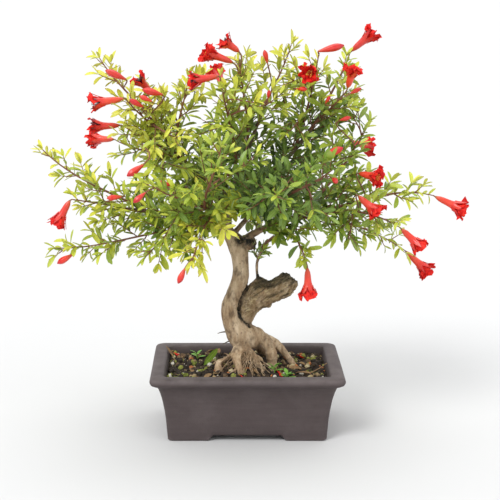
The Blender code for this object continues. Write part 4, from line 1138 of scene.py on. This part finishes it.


# Foliage: narrow leathery leaves in pairs on thin red brown twigs, which carry on from the
# branches. Young leaves at the tips are yellow green, and old ones inside the crown deep green;
# leaves inside and low in the crown are also painted darker, as painted shade.
# The branch and how far along it the spray leaves, its tip in millimetres, how much the tip
# turns up, its side shoots' length in millimetres, and how old it looks from 0 to 1.
SPRAYS = {
    "left_reach": ("left_low", 0.80, (-188, -10, 268), 0.40, 20, 0.30),
    "left_low": ("left_low", 0.04, (-178, -20, 178), 0.15, 30, 0.42),
    "left_flower_arm": ("left_low", 1.00, (-159, -35, 226), 0.00, 22, 0.35),
    "low_left_front": ("left_low", 0.35, (-92, -48, 176), -0.20, 30, 0.40),
    "upper_left": ("left_high", 0.95, (-136, 10, 350), 0.30, 26, 0.06),
    "upper_left_front": ("left_high", 0.75, (-110, -25, 316), 0.20, 28, 0.13),
    "crest_left": ("left_high", 0.62, (-54, -10, 334), 0.30, 28, 0.14),
    "mid_left": ("left_high", 0.45, (-116, 3, 289), 0.00, 30, 0.20),
    "back_left_mid": ("back_left", 0.95, (-128, 66, 268), 0.20, 32, 0.45),
    "back_left_low": ("back_left", 0.50, (-112, 92, 204), -0.10, 32, 0.50),
    "back_centre": ("back_left", 0.80, (0, 120, 262), 0.20, 31, 0.45),
    "back_top": ("leader", 0.55, (-20, 86, 316), 0.30, 34, 0.40),
    "back_low": ("back_right", 0.70, (-4, 127, 192), -0.20, 32, 0.50),
    "back_right_low": ("back_right", 0.95, (104, 98, 202), -0.10, 32, 0.50),
    "back_right_mid": ("right_high", 0.30, (104, 88, 262), 0.20, 34, 0.45),
    "top_left_pair": ("leader", 0.80, (-8, -15, 351), 0.20, 26, 0.28),
    "top_left_front": ("leader", 0.55, (-25, -40, 336), 0.00, 30, 0.32),
    "top_centre": ("leader", 1.00, (40, 10, 362), 0.40, 24, 0.24),
    "top_right_stem": ("right_high", 0.62, (64, -15, 356), 0.30, 24, 0.42),
    "top_right_reach": ("right_high", 1.00, (95, 20, 354), 0.30, 24, 0.48),
    "right_upper": ("right_high", 0.85, (88, -30, 324), 0.30, 26, 0.50),
    "right_mid": ("right_low", 0.60, (113, 4, 292), 0.40, 28, 0.50),
    "right_reach": ("right_low", 0.90, (170, -20, 227), -0.40, 24, 0.36),
    "right_low": ("right_low", 0.75, (136, -50, 203), -0.40, 26, 0.48),
    "right_lowest": ("right_low", 0.50, (150, 12, 169), -0.40, 26, 0.42),
    "hanging_right": ("right_low", 0.35, (53, -60, 170), -1.00, 22, 0.42),
    "front_centre_left": ("front_left", 0.95, (-24, -118, 284), 0.50, 34, 0.52),
    "front_left": ("front_left", 0.80, (-82, -100, 248), 0.20, 32, 0.42),
    "front_low_bright": ("front_left", 0.60, (-49, -104, 184), -0.30, 30, 0.05),
    "front_centre": ("front_right", 0.70, (22, -132, 246), 0.10, 34, 0.74),
    "front_right": ("front_right", 1.00, (74, -92, 264), 0.30, 30, 0.70),
    "stub_spray": ("stub_twig", 1.00, (30, -20, 196), 0.20, 14, 0.50),
}
# Buds on the sprays: the spray, the share of it that they leave at, base and tip in millimetres.
BUDS = (
    ("upper_left_front", 0.70, (-94, -30, 309), (-106, -34, 316)),
    ("left_low", 0.88, (-161, -26, 173), (-175, -28, 165)),
    ("front_left", 0.95, (-88, -108, 244), (-98, -112, 236)),
    ("top_centre", 0.40, (18, 0, 346), (15, -1, 358)),
    ("right_upper", 0.75, (92, -20, 320), (102, -20, 325)),
    ("front_right", 0.60, (72, -82, 254), (75, -94, 250)),
    ("back_centre", 1.00, (0, 121.2, 262.1), (1, 132, 264)),
    ("upper_left_front", 0.60, (-86, -31, 314), (-97, -33, 319)),
    ("front_left", 0.45, (-78, -62, 247), (-69, -64, 243)),
    ("left_flower_arm", 0.40, (-113, -50, 231), (-126, -53, 230)),
    ("front_low_bright", 0.90, (-55, -106, 178), (-61, -108, 165)),
    ("right_upper", 0.60, (69, -30, 312), (73, -33, 319)),
    ("top_right_stem", 0.55, (42, -40, 326), (52, -44, 326)),
    ("top_left_front", 0.75, (17, -50, 318), (18, -54, 326)),
    ("right_mid", 0.70, (82, -30, 297), (92, -32, 300)),
    ("mid_left", 0.60, (-92, -68, 262), (-106, -74, 253)),
)
# Forks of the sprays inside the crown: the spray, how far along it the fork leaves, and its tip.
FORKS = (
    ("top_left_front", 0.42, (22, -44, 316)),
    ("top_left_front", 0.28, (-34, -52, 296)),
    ("top_left_pair", 0.38, (-6, 26, 340)),
    ("crest_left", 0.60, (-46, 14, 326)),
    ("crest_left", 0.08, (-84, 30, 312)),
    ("top_right_stem", 0.48, (38, -26, 334)),
    ("top_right_stem", 0.06, (34, -34, 286)),
    ("top_centre", 0.12, (40, 26, 312)),
    ("upper_left_front", 0.08, (-62, -46, 284)),
    ("mid_left", 0.08, (-76, -34, 246)),
    ("right_mid", 0.78, (96, -8, 300)),
    ("right_mid", 0.28, (80, -40, 274)),
    ("right_low", 0.10, (92, -30, 188)),
    ("low_left_front", 0.12, (-58, -30, 182)),
    ("front_left", 0.10, (-70, -60, 216)),
    ("front_centre_left", 0.10, (6, -62, 268)),
    ("front_centre", 0.08, (-8, -84, 236)),
    ("front_centre", 0.16, (44, -64, 258)),
    ("front_right", 0.06, (60, -70, 222)),
)
FORK_LENGTH = 30
# Share of a spray's route that is bare wood, below its leafy stem.
WOOD_SHARE = 0.34
SHOOT_PITCH = 0.0098
INNER_SHOOTS = 22
SHOOT_ANGLE = math.radians(50)
GOLDEN_ANGLE = math.radians(137.5)
STEM_RADII = (0.00145, 0.00050)
FORK_RADII = (0.00100, 0.00045)
SHOOT_RADII = (0.00060, 0.00034)
STALK_RADII = (0.00060, 0.00075)
WOOD_SHOOT_LENGTH = 32
LEAF_PITCH = 0.0053
LEAF_LENGTH = (0.0106, 0.0174)
LEAF_ASPECT = (0.23, 0.34)
LEAF_LEAN = (math.radians(34), math.radians(66))
LEAF, TWIG = range(2)
BUD_FINISH = 2
# Gaps in the foliage in millimetres, where the wood shows: centre and reach.
GAPS = (((-15, -30, 192), 17), ((-12, -14, 176), 14), ((-17, -52, 196), 12))
CROWN_CENTRE = Vector((0.0, 0.0, 0.255))
CROWN_REACH = Vector((0.175, 0.135, 0.105))
# Leaf outline: the share of its length, and the half width as a share of its width.
LEAF_ROWS = ((0.0, 0.05), (0.15, 0.29), (0.36, 0.46), (0.60, 0.50), (0.84, 0.38), (1.0, 0.08))
# Leaf forms: fold along the midrib, arch along the length and twist.
LEAF_FORMS = ((0.10, 0.10, 0.1), (0.16, 0.22, -0.2), (0.06, 0.04, 0.3), (0.20, 0.14, -0.5))
MIDRIB_DEPTH = 0.022


def leaf_form(fold, arch, twist):
    """A closed leaf of unit length and width along +X: two thin skins that meet at the margin."""
    bm = bmesh.new()
    uv = bm.loops.layers.uv.new("UVMap")
    rows = len(LEAF_ROWS) - 1
    bmesh.ops.create_grid(bm, x_segments=rows, y_segments=2, size=1.0, calc_uvs=True)
    inner = {}
    for vert in bm.verts:
        share, half = LEAF_ROWS[round((vert.co.x + 1) / 2 * rows)]
        side = vert.co.y
        lift = fold * abs(side) * half - arch * share * share
        vert.co = Vector((share * (1 - 0.2 * arch), side * half, lift))
        vert.co.y -= math.sin(twist * share) * (lift + arch * share * share)
        vert.co.z += math.sin(twist * share) * side * half * 0.5
        inner[vert] = abs(side) < 0.5 and 0.0 < share < 1.0
    middle = [vert.index for vert in bm.verts if inner[vert]]
    bm.verts.index_update()
    top = bm.verts[:] + bm.edges[:] + bm.faces[:]
    copied = bmesh.ops.duplicate(bm, geom=top)
    under = [face for face in copied["geom"] if isinstance(face, bmesh.types.BMFace)]
    for old, new in copied["vert_map"].items():
        if inner.get(old):
            new.co.z -= MIDRIB_DEPTH
    bmesh.ops.reverse_faces(bm, faces=under)
    for face in under:
        for loop in face.loops:
            loop[uv].uv.y = 2 - loop[uv].uv.y
    bmesh.ops.remove_doubles(bm, verts=bm.verts[:], dist=1e-5)
    mesh = bpy.data.meshes.new("leaf")
    bm.to_mesh(mesh)
    bm.free()
    return mesh


def curved_route(start, end, out_way, in_way, count):
    """A smooth curve from start to end that leaves along out_way and arrives along in_way."""
    reach = (end - start).length
    a = start + out_way * reach / 3
    b = end - in_way * reach / 3
    route = []
    for i in range(count):
        t = i / (count - 1)
        s = 1 - t
        route.append(s**3 * start + 3 * s * s * t * a + 3 * s * t * t * b + t**3 * end)
    return route


def point_on(route, share):
    """The point at a share of a route, and the way the route runs there."""
    along = share * (len(route) - 1)
    k = min(int(along), len(route) - 2)
    return route[k].lerp(route[k + 1], along - k), (route[k + 1] - route[k]).normalized()


def twig_route(branch, share, tip, rise):
    """Route of a twig from the middle of its branch to its tip, which is in millimetres."""
    start, way = point_on(smooth_route(BRANCHES[branch][0]), share)
    end = Vector(tip) * MM
    reach = (end - start).normalized()
    out_way = (reach + 0.7 * way + Vector((0, 0, 0.25))).normalized()
    in_way = (reach + Vector((0, 0, rise))).normalized()
    return curved_route(start, end, out_way, in_way, ROUTE_STEPS)


def fork_route(spray, share, tip):
    """Route of a fork from a spray's leafy stem to its tip, which is in millimetres."""
    start, way = point_on(spray, WOOD_SHARE + (1 - WOOD_SHARE) * share)
    end = Vector(tip) * MM
    reach = (end - start).normalized()
    in_way = (reach + Vector((0, 0, 0.3))).normalized()
    return curved_route(start, end, (reach + 0.5 * way).normalized(), in_way, ROUTE_STEPS)


def clear_of_blooms(place, room=0.0055):
    """Whether a point stands clear of every flower."""
    for base, mouth in bloom_lines:
        run = mouth - base
        along = clamp((place - base).dot(run) / run.length_squared)
        if (place - base - run * along).length < room + 0.003 * along:
            return False
    return True


def leaf_age_and_painted_shade(place, along, age, draw):
    """How old a leaf looks, with painted shade: older and darker inside and low in the crown, younger
    at the tips of shoots.
    """
    out = place - CROWN_CENTRE
    depth = Vector((out[i] / CROWN_REACH[i] for i in range(3))).length
    # Depth in the crown and height are partly age and partly painted shade: inner and low leaves come
    # out darker.
    look = age + 0.55 * (0.80 - min(depth, 1.1)) - 0.26 * (along - 0.4) - 0.9 * out.z
    return clamp(look + draw.gauss(0, 0.11))


class Sprig:
    """The leaves and twigs of one piece of foliage, gathered as they are placed."""

    def __init__(self, seed, age):
        self.draw = random.Random(seed)
        self.age = age
        self.bm = bmesh.new()
        self.runs = []

    def set_leaf(self, place, way, turn, along, size=1.0, lean=None):
        """One leaf with its foot on a twig, leaning forward with its face to the sky."""
        draw = self.draw
        out = Matrix.Rotation(turn, 3, way) @ way.orthogonal().normalized()
        lean = draw.uniform(*LEAF_LEAN) if lean is None else lean
        ahead = (way * math.cos(lean) + out * math.sin(lean)).normalized()
        ahead = (ahead + Vector((0, 0, draw.uniform(-0.12, 0.16)))).normalized()
        up = Vector((draw.uniform(-0.3, 0.3), draw.uniform(-0.5, 0.1), 1.0)) + 0.6 * way
        up = (up - ahead * up.dot(ahead)).normalized()
        up = Matrix.Rotation(draw.gauss(0, 0.35), 3, ahead) @ up
        length = size * draw.uniform(*LEAF_LENGTH)
        width = length * draw.uniform(*LEAF_ASPECT)
        look = leaf_age_and_painted_shade(place, along, self.age, draw)
        form = leaf_meshes[draw.randrange(len(leaf_meshes))]
        marks = {"tone": look, "shade": draw.random()}
        if not all(clear_of_blooms(place + ahead * length * share) for share in (0.4, 0.95)):
            return
        tip = place + ahead * length
        if any((tip - Vector(centre) * MM).length < reach * MM for centre, reach in GAPS):
            return
        size = Matrix.Diagonal((length, width, length, 1))
        add_mesh(self.bm, form, LEAF, Matrix.Translation(place) @ facing(ahead, up) @ size, marks)

    def dress(self, route, start, end, full=1.0, size=1.0):
        """Pairs of leaves along a twig, each a quarter turn from the last."""
        draw = self.draw
        run = sum((b - a).length for a, b in zip(route, route[1:])) * (end - start)
        pairs = max(1, round(run / LEAF_PITCH))
        turn = draw.uniform(0, math.tau)
        for index in range(pairs):
            along = start + (end - start) * (index + draw.uniform(0.1, 0.6)) / pairs
            place, way = point_on(route, min(along, 1.0))
            grown = size * (1.04 - 0.30 * abs(along - 0.45))
            for side in (0, math.pi):
                wobble = draw.gauss(0, 0.30)
                if draw.random() < 0.95 * full:
                    self.set_leaf(place, way, turn + side + wobble, along, grown)
            turn += math.pi / 2

    def tuft(self, route):
        place, way = point_on(route, 1.0)
        for index in range(self.draw.choice((2, 3, 3, 4))):
            lean = self.draw.uniform(0.15, 0.75)
            self.set_leaf(place, way, index * 2.2, 1.1, self.draw.uniform(0.62, 0.92), lean)

    def shoot(self, route, share, index, length, full=1.0):
        """A side shoot that turns round the twig by the golden angle and rises to the light."""
        draw = self.draw
        start, way = point_on(route, share)
        turn = Matrix.Rotation(GOLDEN_ANGLE * index + draw.uniform(-0.5, 0.5), 3, way)
        side = turn @ way.orthogonal().normalized()
        out = way * math.cos(SHOOT_ANGLE) + side * math.sin(SHOOT_ANGLE)
        out = (out + Vector((0, 0, 0.16))).normalized()
        reach = length * MM * draw.uniform(0.75, 1.25)
        later = (out + 0.35 * way + Vector((0, 0, draw.uniform(-0.1, 0.35)))).normalized()
        line = curved_route(start, start + (out + later).normalized() * reach, out, later, 6)
        if not clear_of_blooms(line[-1]) or not clear_of_blooms(line[3]):
            return
        self.runs.append((line, tapered(*SHOOT_RADII, len(line))))
        self.dress(line, 0.14, 1.0, full, 0.72 + 0.28 * full)
        self.tuft(line)

    def clothe(self, route, length, bare=0.14):
        """Side shoots all along a twig, long near its foot and short and thin near its tip."""
        run = sum((b - a).length for a, b in zip(route, route[1:]))
        count = max(3, round(run * (0.97 - bare) / SHOOT_PITCH))
        for index in range(count):
            share = bare + (0.97 - bare) * (index + 0.5) / count
            full = 1.0 - 0.55 * clamp((share - 0.60) / 0.35)
            self.shoot(route, share, index, length * (1.30 - 1.02 * share), full)
        self.dress(route, 0.60, 0.98, 0.8, 0.85)

    def finish(self, name, old):
        """Adds the twigs, which are marked with how old their bark is, and makes the piece."""
        add_mesh(self.bm, tubes(self.runs, 1), TWIG, None, {"tone": old, "shade": 0.5})
        return new_piece(name, self.bm, FOLIAGE_FINISHES, 60.0)


def leaf_finish():
    """Leathery leaf: yellow green when young to deep green when old and in painted shade, paler below
    and along the midrib, with painted light in patches.
    """
    material, tree, shader = new_finish("leaf", Roughness=0.38)
    place = coordinates(tree)
    uv = add_node(tree, "SeparateXYZ", {"Vector": add_node(tree, "UVMap").outputs[0]}).outputs
    across = sums(tree, "PINGPONG", uv["Y"], 1.0)
    from_rib = sums(tree, "ABSOLUTE", sums(tree, "SUBTRACT", across, 0.5))
    tone = attribute(tree, "tone")
    # The tone runs from young to old leaves and also carries painted shade inside and low in the crown.
    colour = ramp(
        tree,
        tone,
        (
            (0.00, (0.820, 0.780, 0.080)),
            (0.20, (0.640, 0.680, 0.060)),
            (0.42, (0.395, 0.500, 0.040)),
            (0.66, (0.165, 0.280, 0.027)),
            (0.88, (0.068, 0.138, 0.018)),
            (1.00, (0.032, 0.074, 0.013)),
        ),
    )
    # Painted light: paler yellow green patches laid over the leaves; the same mask varies their gloss.
    wear_and_painted_light = mottle(tree, place, 330.0, 0.35, 0.75)
    lit = stain(tree, colour, wear_and_painted_light, 0.25, (0.330, 0.420, 0.090, 1))
    shade = sums(tree, "MULTIPLY", attribute(tree, "shade"), 0.20)
    colour = blend(tree, shade, lit, (0.060, 0.150, 0.010, 1))
    rib = span(tree, from_rib, 0.0, 0.075, 0.45, 0.0)
    colour = blend(tree, rib, colour, (0.450, 0.520, 0.150, 1))
    below = sums(tree, "MULTIPLY", sums(tree, "GREATER_THAN", uv["Y"], 1.0), 0.28)
    colour = blend(tree, below, colour, (0.300, 0.400, 0.140, 1))
    young_tip = sums(tree, "MULTIPLY", span(tree, uv["X"], 0.86, 1.0), span(tree, tone, 0.30, 0.0))
    colour = stain(tree, colour, young_tip, 0.7, (0.600, 0.180, 0.040, 1))
    tree.links.new(colour, shader.inputs["Base Color"])
    slant = sums(tree, "MULTIPLY", from_rib, 34.0)
    veins = sums(tree, "SUBTRACT", sums(tree, "MULTIPLY", uv["X"], 60.0), slant)
    veins = sums(tree, "MULTIPLY", sums(tree, "SINE", veins), 0.3)
    relief = sums(tree, "ADD", veins, span(tree, from_rib, 0.0, 0.09, -1.0, 0.0))
    relief = sums(tree, "ADD", relief, mottle(tree, place, 1800.0))
    raise_bumps(tree, shader, relief, 0.00012, 0.6)
    tree.links.new(span(tree, wear_and_painted_light, 0.0, 1.0, 0.27, 0.44), shader.inputs["Roughness"])
    return material


FOLIAGE_FINISHES = [leaf_finish(), FLOWER_FINISHES[STALK], FLOWER_FINISHES[CALYX]]
leaf_meshes = [leaf_form(*form) for form in LEAF_FORMS]
routes = {name: twig_route(*spray[:4]) for name, spray in SPRAYS.items()}
# Short shoots on the bare wood between the sprays, each built with the spray nearest to it.
wood_shoots = {name: [] for name in SPRAYS}
for branch, (points, _, _) in BRANCHES.items():
    line = smooth_route(points)
    for index in range(INNER_SHOOTS if branch != "stub_twig" else 0):
        share = 0.14 + 0.84 * (index + 0.5) / INNER_SHOOTS
        place = point_on(line, share)[0]
        near = min(routes, key=lambda spray: nearest(place, routes[spray]))
        wood_shoots[near].append((line, share, index))
for name, (branch, _, _, _, length, age) in SPRAYS.items():
    sprig = Sprig("foliage " + name, age)
    route = routes[name]
    sprig.runs.append((route, tapered(*STEM_RADII, len(route))))
    sprig.clothe(route, length)
    for line, share, index in wood_shoots[name]:
        sprig.shoot(line, share, index, WOOD_SHOOT_LENGTH)
    for spray, share, tip in FORKS:
        if spray == name:
            fork = fork_route(route, share, tip)
            sprig.runs.append((fork, tapered(*FORK_RADII, len(fork))))
            sprig.clothe(fork, FORK_LENGTH)
            sprig.tuft(fork)
    if branch == "stub_twig":
        sprig.clothe(smooth_route(BRANCHES[branch][0]), 1.6 * length, 0.40)
    held = [line for line in BLOOMS.values() if line[0] == name]
    ends = [(share, base, mouth) for _, share, base, mouth, _ in held]
    ends += [(share, base, tip) for spray, share, base, tip in BUDS if spray == name]
    if not any(share == 1.0 for share, _, _ in ends):
        sprig.tuft(route)
    for share, base, mouth in ends:
        base, mouth = Vector(base) * MM, Vector(mouth) * MM
        start, way = point_on(route, share)
        axis = (mouth - base).normalized()
        stalk = curved_route(start, base + axis * 0.0004, (way + axis).normalized(), axis, 7)
        sprig.runs.append((stalk, tapered(*STALK_RADII, len(stalk))))
    for spray, share, base, tip in BUDS:
        if spray == name:
            base, tip = Vector(base) * MM, Vector(tip) * MM
            bud = bmesh.new()
            add_flower(bud, "bud", base, tip, sprig.draw)
            add_form(sprig.bm, bud, BUD_FINISH)
    foliage = sprig.finish("foliage_" + name, 0.35)
    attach(foliage, "root")
    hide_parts("spray_" + name)


# Top dressing: the grit, moss and litter that lie on the soil, which the solids leave out. Sharp
# grains of baked clay, pumice and lava, with fallen leaves and petals and three small weeds.
GRAINS = 2300
GRAIN_SIZE = (0.0006, 0.0028)
GRAIN_FORMS = 5
MOSS_CLUMPS = (
    (-66, -34, 6.0), (-60, -24, 5.0), (-52, -34, 4.5), (-66, 6, 5.0), (-52, 14, 6.0),
    (-44, -8, 4.0), (-30, 24, 5.5), (-8, 40, 5.0), (30, 36, 6.0), (46, 24, 5.0),
    (60, 12, 5.5), (66, 30, 4.5), (58, -8, 4.0), (14, -40, 4.0), (-20, -40, 4.5),
)
FALLEN_LEAVES = 26
# Fallen petals in millimetres: place on the soil, and the way they point in degrees.
FALLEN_PETALS = ((-68, 36, 20), (-4, -35, 5), (31, -26, -40), (52, 34, 60))
# Weeds in millimetres: place on the soil, height and number of leaves.
WEEDS = ((26, -22, 9, 6), (37, -38, 6, 7), (-48, 30, 7, 5))
WEED_LEAF = Matrix.Diagonal((0.0085, 0.0040, 0.0085, 1))
WEED_STALK = (0.0004, 0.0003)
LITTER_LENGTH = (0.009, 0.016)
LITTER_ASPECT = (0.22, 0.32)
# The big green leaf that fell point first, and a dry twig, from end to end in millimetres.
STUCK_LEAF = ((-41, 4, 58), (-28, 2, 75))
DRY_TWIG = ((58, -35, 62), (66, -26, 63), (76, -12, 65))
GRIT, MOSS, LITTER, FRESH, FALLEN_PETAL, GREEN_LEAF = range(6)


def grit_finish():
    """Grit: constant colours for baked clay, pumice, lava and mossy grains, with a sandy face."""
    material, tree, shader = new_finish("grit", Roughness=0.88)
    place = coordinates(tree)
    colour = ramp(
        tree,
        attribute(tree, "tone"),
        (
            (0.00, (0.024, 0.017, 0.012)),
            (0.42, (0.050, 0.032, 0.020)),
            (0.68, (0.160, 0.098, 0.050)),
            (0.76, (0.420, 0.300, 0.150)),
            (0.83, (0.620, 0.520, 0.300)),
            (0.88, (0.560, 0.190, 0.060)),
            (0.91, (0.300, 0.320, 0.060)),
            (0.97, (0.760, 0.720, 0.620)),
        ),
        "CONSTANT",
    )
    dirt = mottle(tree, place, 520.0, 0.40, 0.70)
    colour = stain(tree, colour, dirt, 0.45, (0.060, 0.042, 0.026, 1))
    tree.links.new(colour, shader.inputs["Base Color"])
    raise_bumps(tree, shader, mottle(tree, place, 2200.0, detail=6.0), 0.0004, 0.8)
    return material


def patchy_finish(name, dark, light, scale, roughness, depth):
    """A dull natural surface in two mottled colours."""
    material, tree, shader = new_finish(name, Roughness=roughness)
    place = coordinates(tree)
    colour = blend(tree, mottle(tree, place, scale, 0.32, 0.68, 6.0), dark, light)
    tree.links.new(colour, shader.inputs["Base Color"])
    raise_bumps(tree, shader, mottle(tree, place, 3.0 * scale, detail=8.0), depth)
    return material


def on_soil(x, y, lift=0.0):
    return Vector((x, y, soil_height(x, y) + lift))


bm = bmesh.new()
draw = random.Random("top dressing")
grain_meshes = []
for index in range(GRAIN_FORMS):
    grain = bmesh.new()
    bmesh.ops.create_icosphere(grain, subdivisions=1 if index < 3 else 2, radius=1.0)
    for vert in grain.verts:
        vert.co *= 1 + 0.42 * noise.noise(vert.co * 1.3 + Vector((9.0 * index, 0, 0)))
    mesh = bpy.data.meshes.new("grain")
    grain.to_mesh(mesh)
    grain.free()
    grain_meshes.append(mesh)
for index in range(GRAINS):
    x = draw.uniform(-1, 1) * (SOIL_HALF[0] - 0.0015)
    y = draw.uniform(-1, 1) * (SOIL_HALF[1] - 0.0015)
    radius = GRAIN_SIZE[0] + (GRAIN_SIZE[1] - GRAIN_SIZE[0]) * draw.random() ** 3.2
    place = on_soil(x, y, draw.uniform(0.1, 0.6) * radius)
    turn = Matrix.Rotation(draw.uniform(0, math.tau), 4, (draw.random(), draw.random(), 1))
    size = Matrix.Diagonal([radius * draw.uniform(0.75, 1.25) for _ in range(3)] + [1])
    tone = draw.random()
    form = grain_meshes[draw.randrange(GRAIN_FORMS) if radius > 0.0012 else draw.randrange(3)]
    add_mesh(bm, form, GRIT, Matrix.Translation(place) @ turn @ size, {"tone": tone})
for x, y, reach in MOSS_CLUMPS:
    clump = bmesh.new()
    flat = Matrix.Translation(on_soil(x * MM, y * MM, -0.0006)) @ Matrix.Diagonal((1, 0.8, 0.42, 1))
    bmesh.ops.create_icosphere(clump, subdivisions=4, radius=reach * MM, matrix=flat)
    clump.normal_update()
    for vert in clump.verts:
        vert.co += vert.normal * (0.0011 * noise.fractal(vert.co * 700, 0.8, 2.0, 3))
        vert.co += vert.normal * (0.0012 * noise.noise(vert.co * 190))
    add_form(bm, clump, MOSS)
for index in range(FALLEN_LEAVES):
    x = draw.uniform(-0.97, 0.97) * SOIL_HALF[0]
    y = draw.uniform(-0.95, 0.95) * SOIL_HALF[1]
    turn = Matrix.Rotation(draw.uniform(0, math.tau), 4, "Z") @ Matrix.Rotation(
        draw.gauss(0, 0.35), 4, "Y"
    )
    length = draw.uniform(*LITTER_LENGTH)
    size = Matrix.Diagonal((length, length * draw.uniform(*LITTER_ASPECT), length, 1))
    matrix = Matrix.Translation(on_soil(x, y, 0.0022)) @ turn @ size
    add_mesh(bm, leaf_meshes[index % 4], LITTER, matrix, {"tone": draw.random()})
for x, y, height, count in WEEDS:
    foot = on_soil(x * MM, y * MM)
    for index in range(count):
        angle = index * GOLDEN_ANGLE
        rise = 0.3 + 0.5 * index / count
        way = Vector((math.cos(angle), math.sin(angle), rise)).normalized()
        top = foot + Vector((0, 0, height * MM * (0.35 + 0.65 * index / count)))
        add_mesh(bm, tubes([([foot, top], WEED_STALK)], 0), FRESH)
        matrix = Matrix.Translation(top) @ facing(way, Vector((0, 0, 1))) @ WEED_LEAF
        add_mesh(bm, leaf_meshes[index % 4], FRESH, matrix, {"tone": 0.3, "shade": 0.3})
for x, y, heading in FALLEN_PETALS:
    petal = crumpled_petal(0.016, 0, 7, draw)
    turn = Matrix.Rotation(math.radians(heading), 4, "Z") @ Matrix.Rotation(math.pi / 2, 4, "Y")
    centre = Matrix.Translation((-0.0045, 0, -0.013))
    place = Matrix.Translation(on_soil(x * MM, y * MM, 0.0025))
    add_form(bm, petal, FALLEN_PETAL, place @ turn @ centre)
foot, tip = (Vector(end) * MM for end in STUCK_LEAF)
ahead = (tip - foot).normalized()
turned = facing(ahead, Vector((0.2, -1, 0.3)))
length = (tip - foot).length
size = Matrix.Diagonal((length, 0.30 * length, length, 1))
add_mesh(bm, leaf_meshes[2], GREEN_LEAF, Matrix.Translation(foot) @ turned @ size, {"tone": 0.66})
add_mesh(bm, tubes([(smooth_route(DRY_TWIG, 8), tapered(0.0006, 0.0003, 8))], 1), LITTER)
moss = patchy_finish("moss", (0.045, 0.070, 0.010, 1), (0.330, 0.360, 0.060, 1), 520.0, 0.95, 0.0010)
brown, tan = (0.130, 0.065, 0.030, 1), (0.380, 0.240, 0.110, 1)
litter = patchy_finish("dead_leaf", brown, tan, 260.0, 0.8, 0.0004)
fresh = patchy_finish("weed", (0.110, 0.300, 0.030, 1), (0.240, 0.460, 0.060, 1), 300.0, 0.5, 0.0002)
dressing = new_piece(
    "top_dressing",
    bm,
    [grit_finish(), moss, litter, fresh, FLOWER_FINISHES[PETAL], FOLIAGE_FINISHES[LEAF]],
    40.0,
)
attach(dressing, "root")


# The box round the dressed part, floor left out.
low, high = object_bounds()
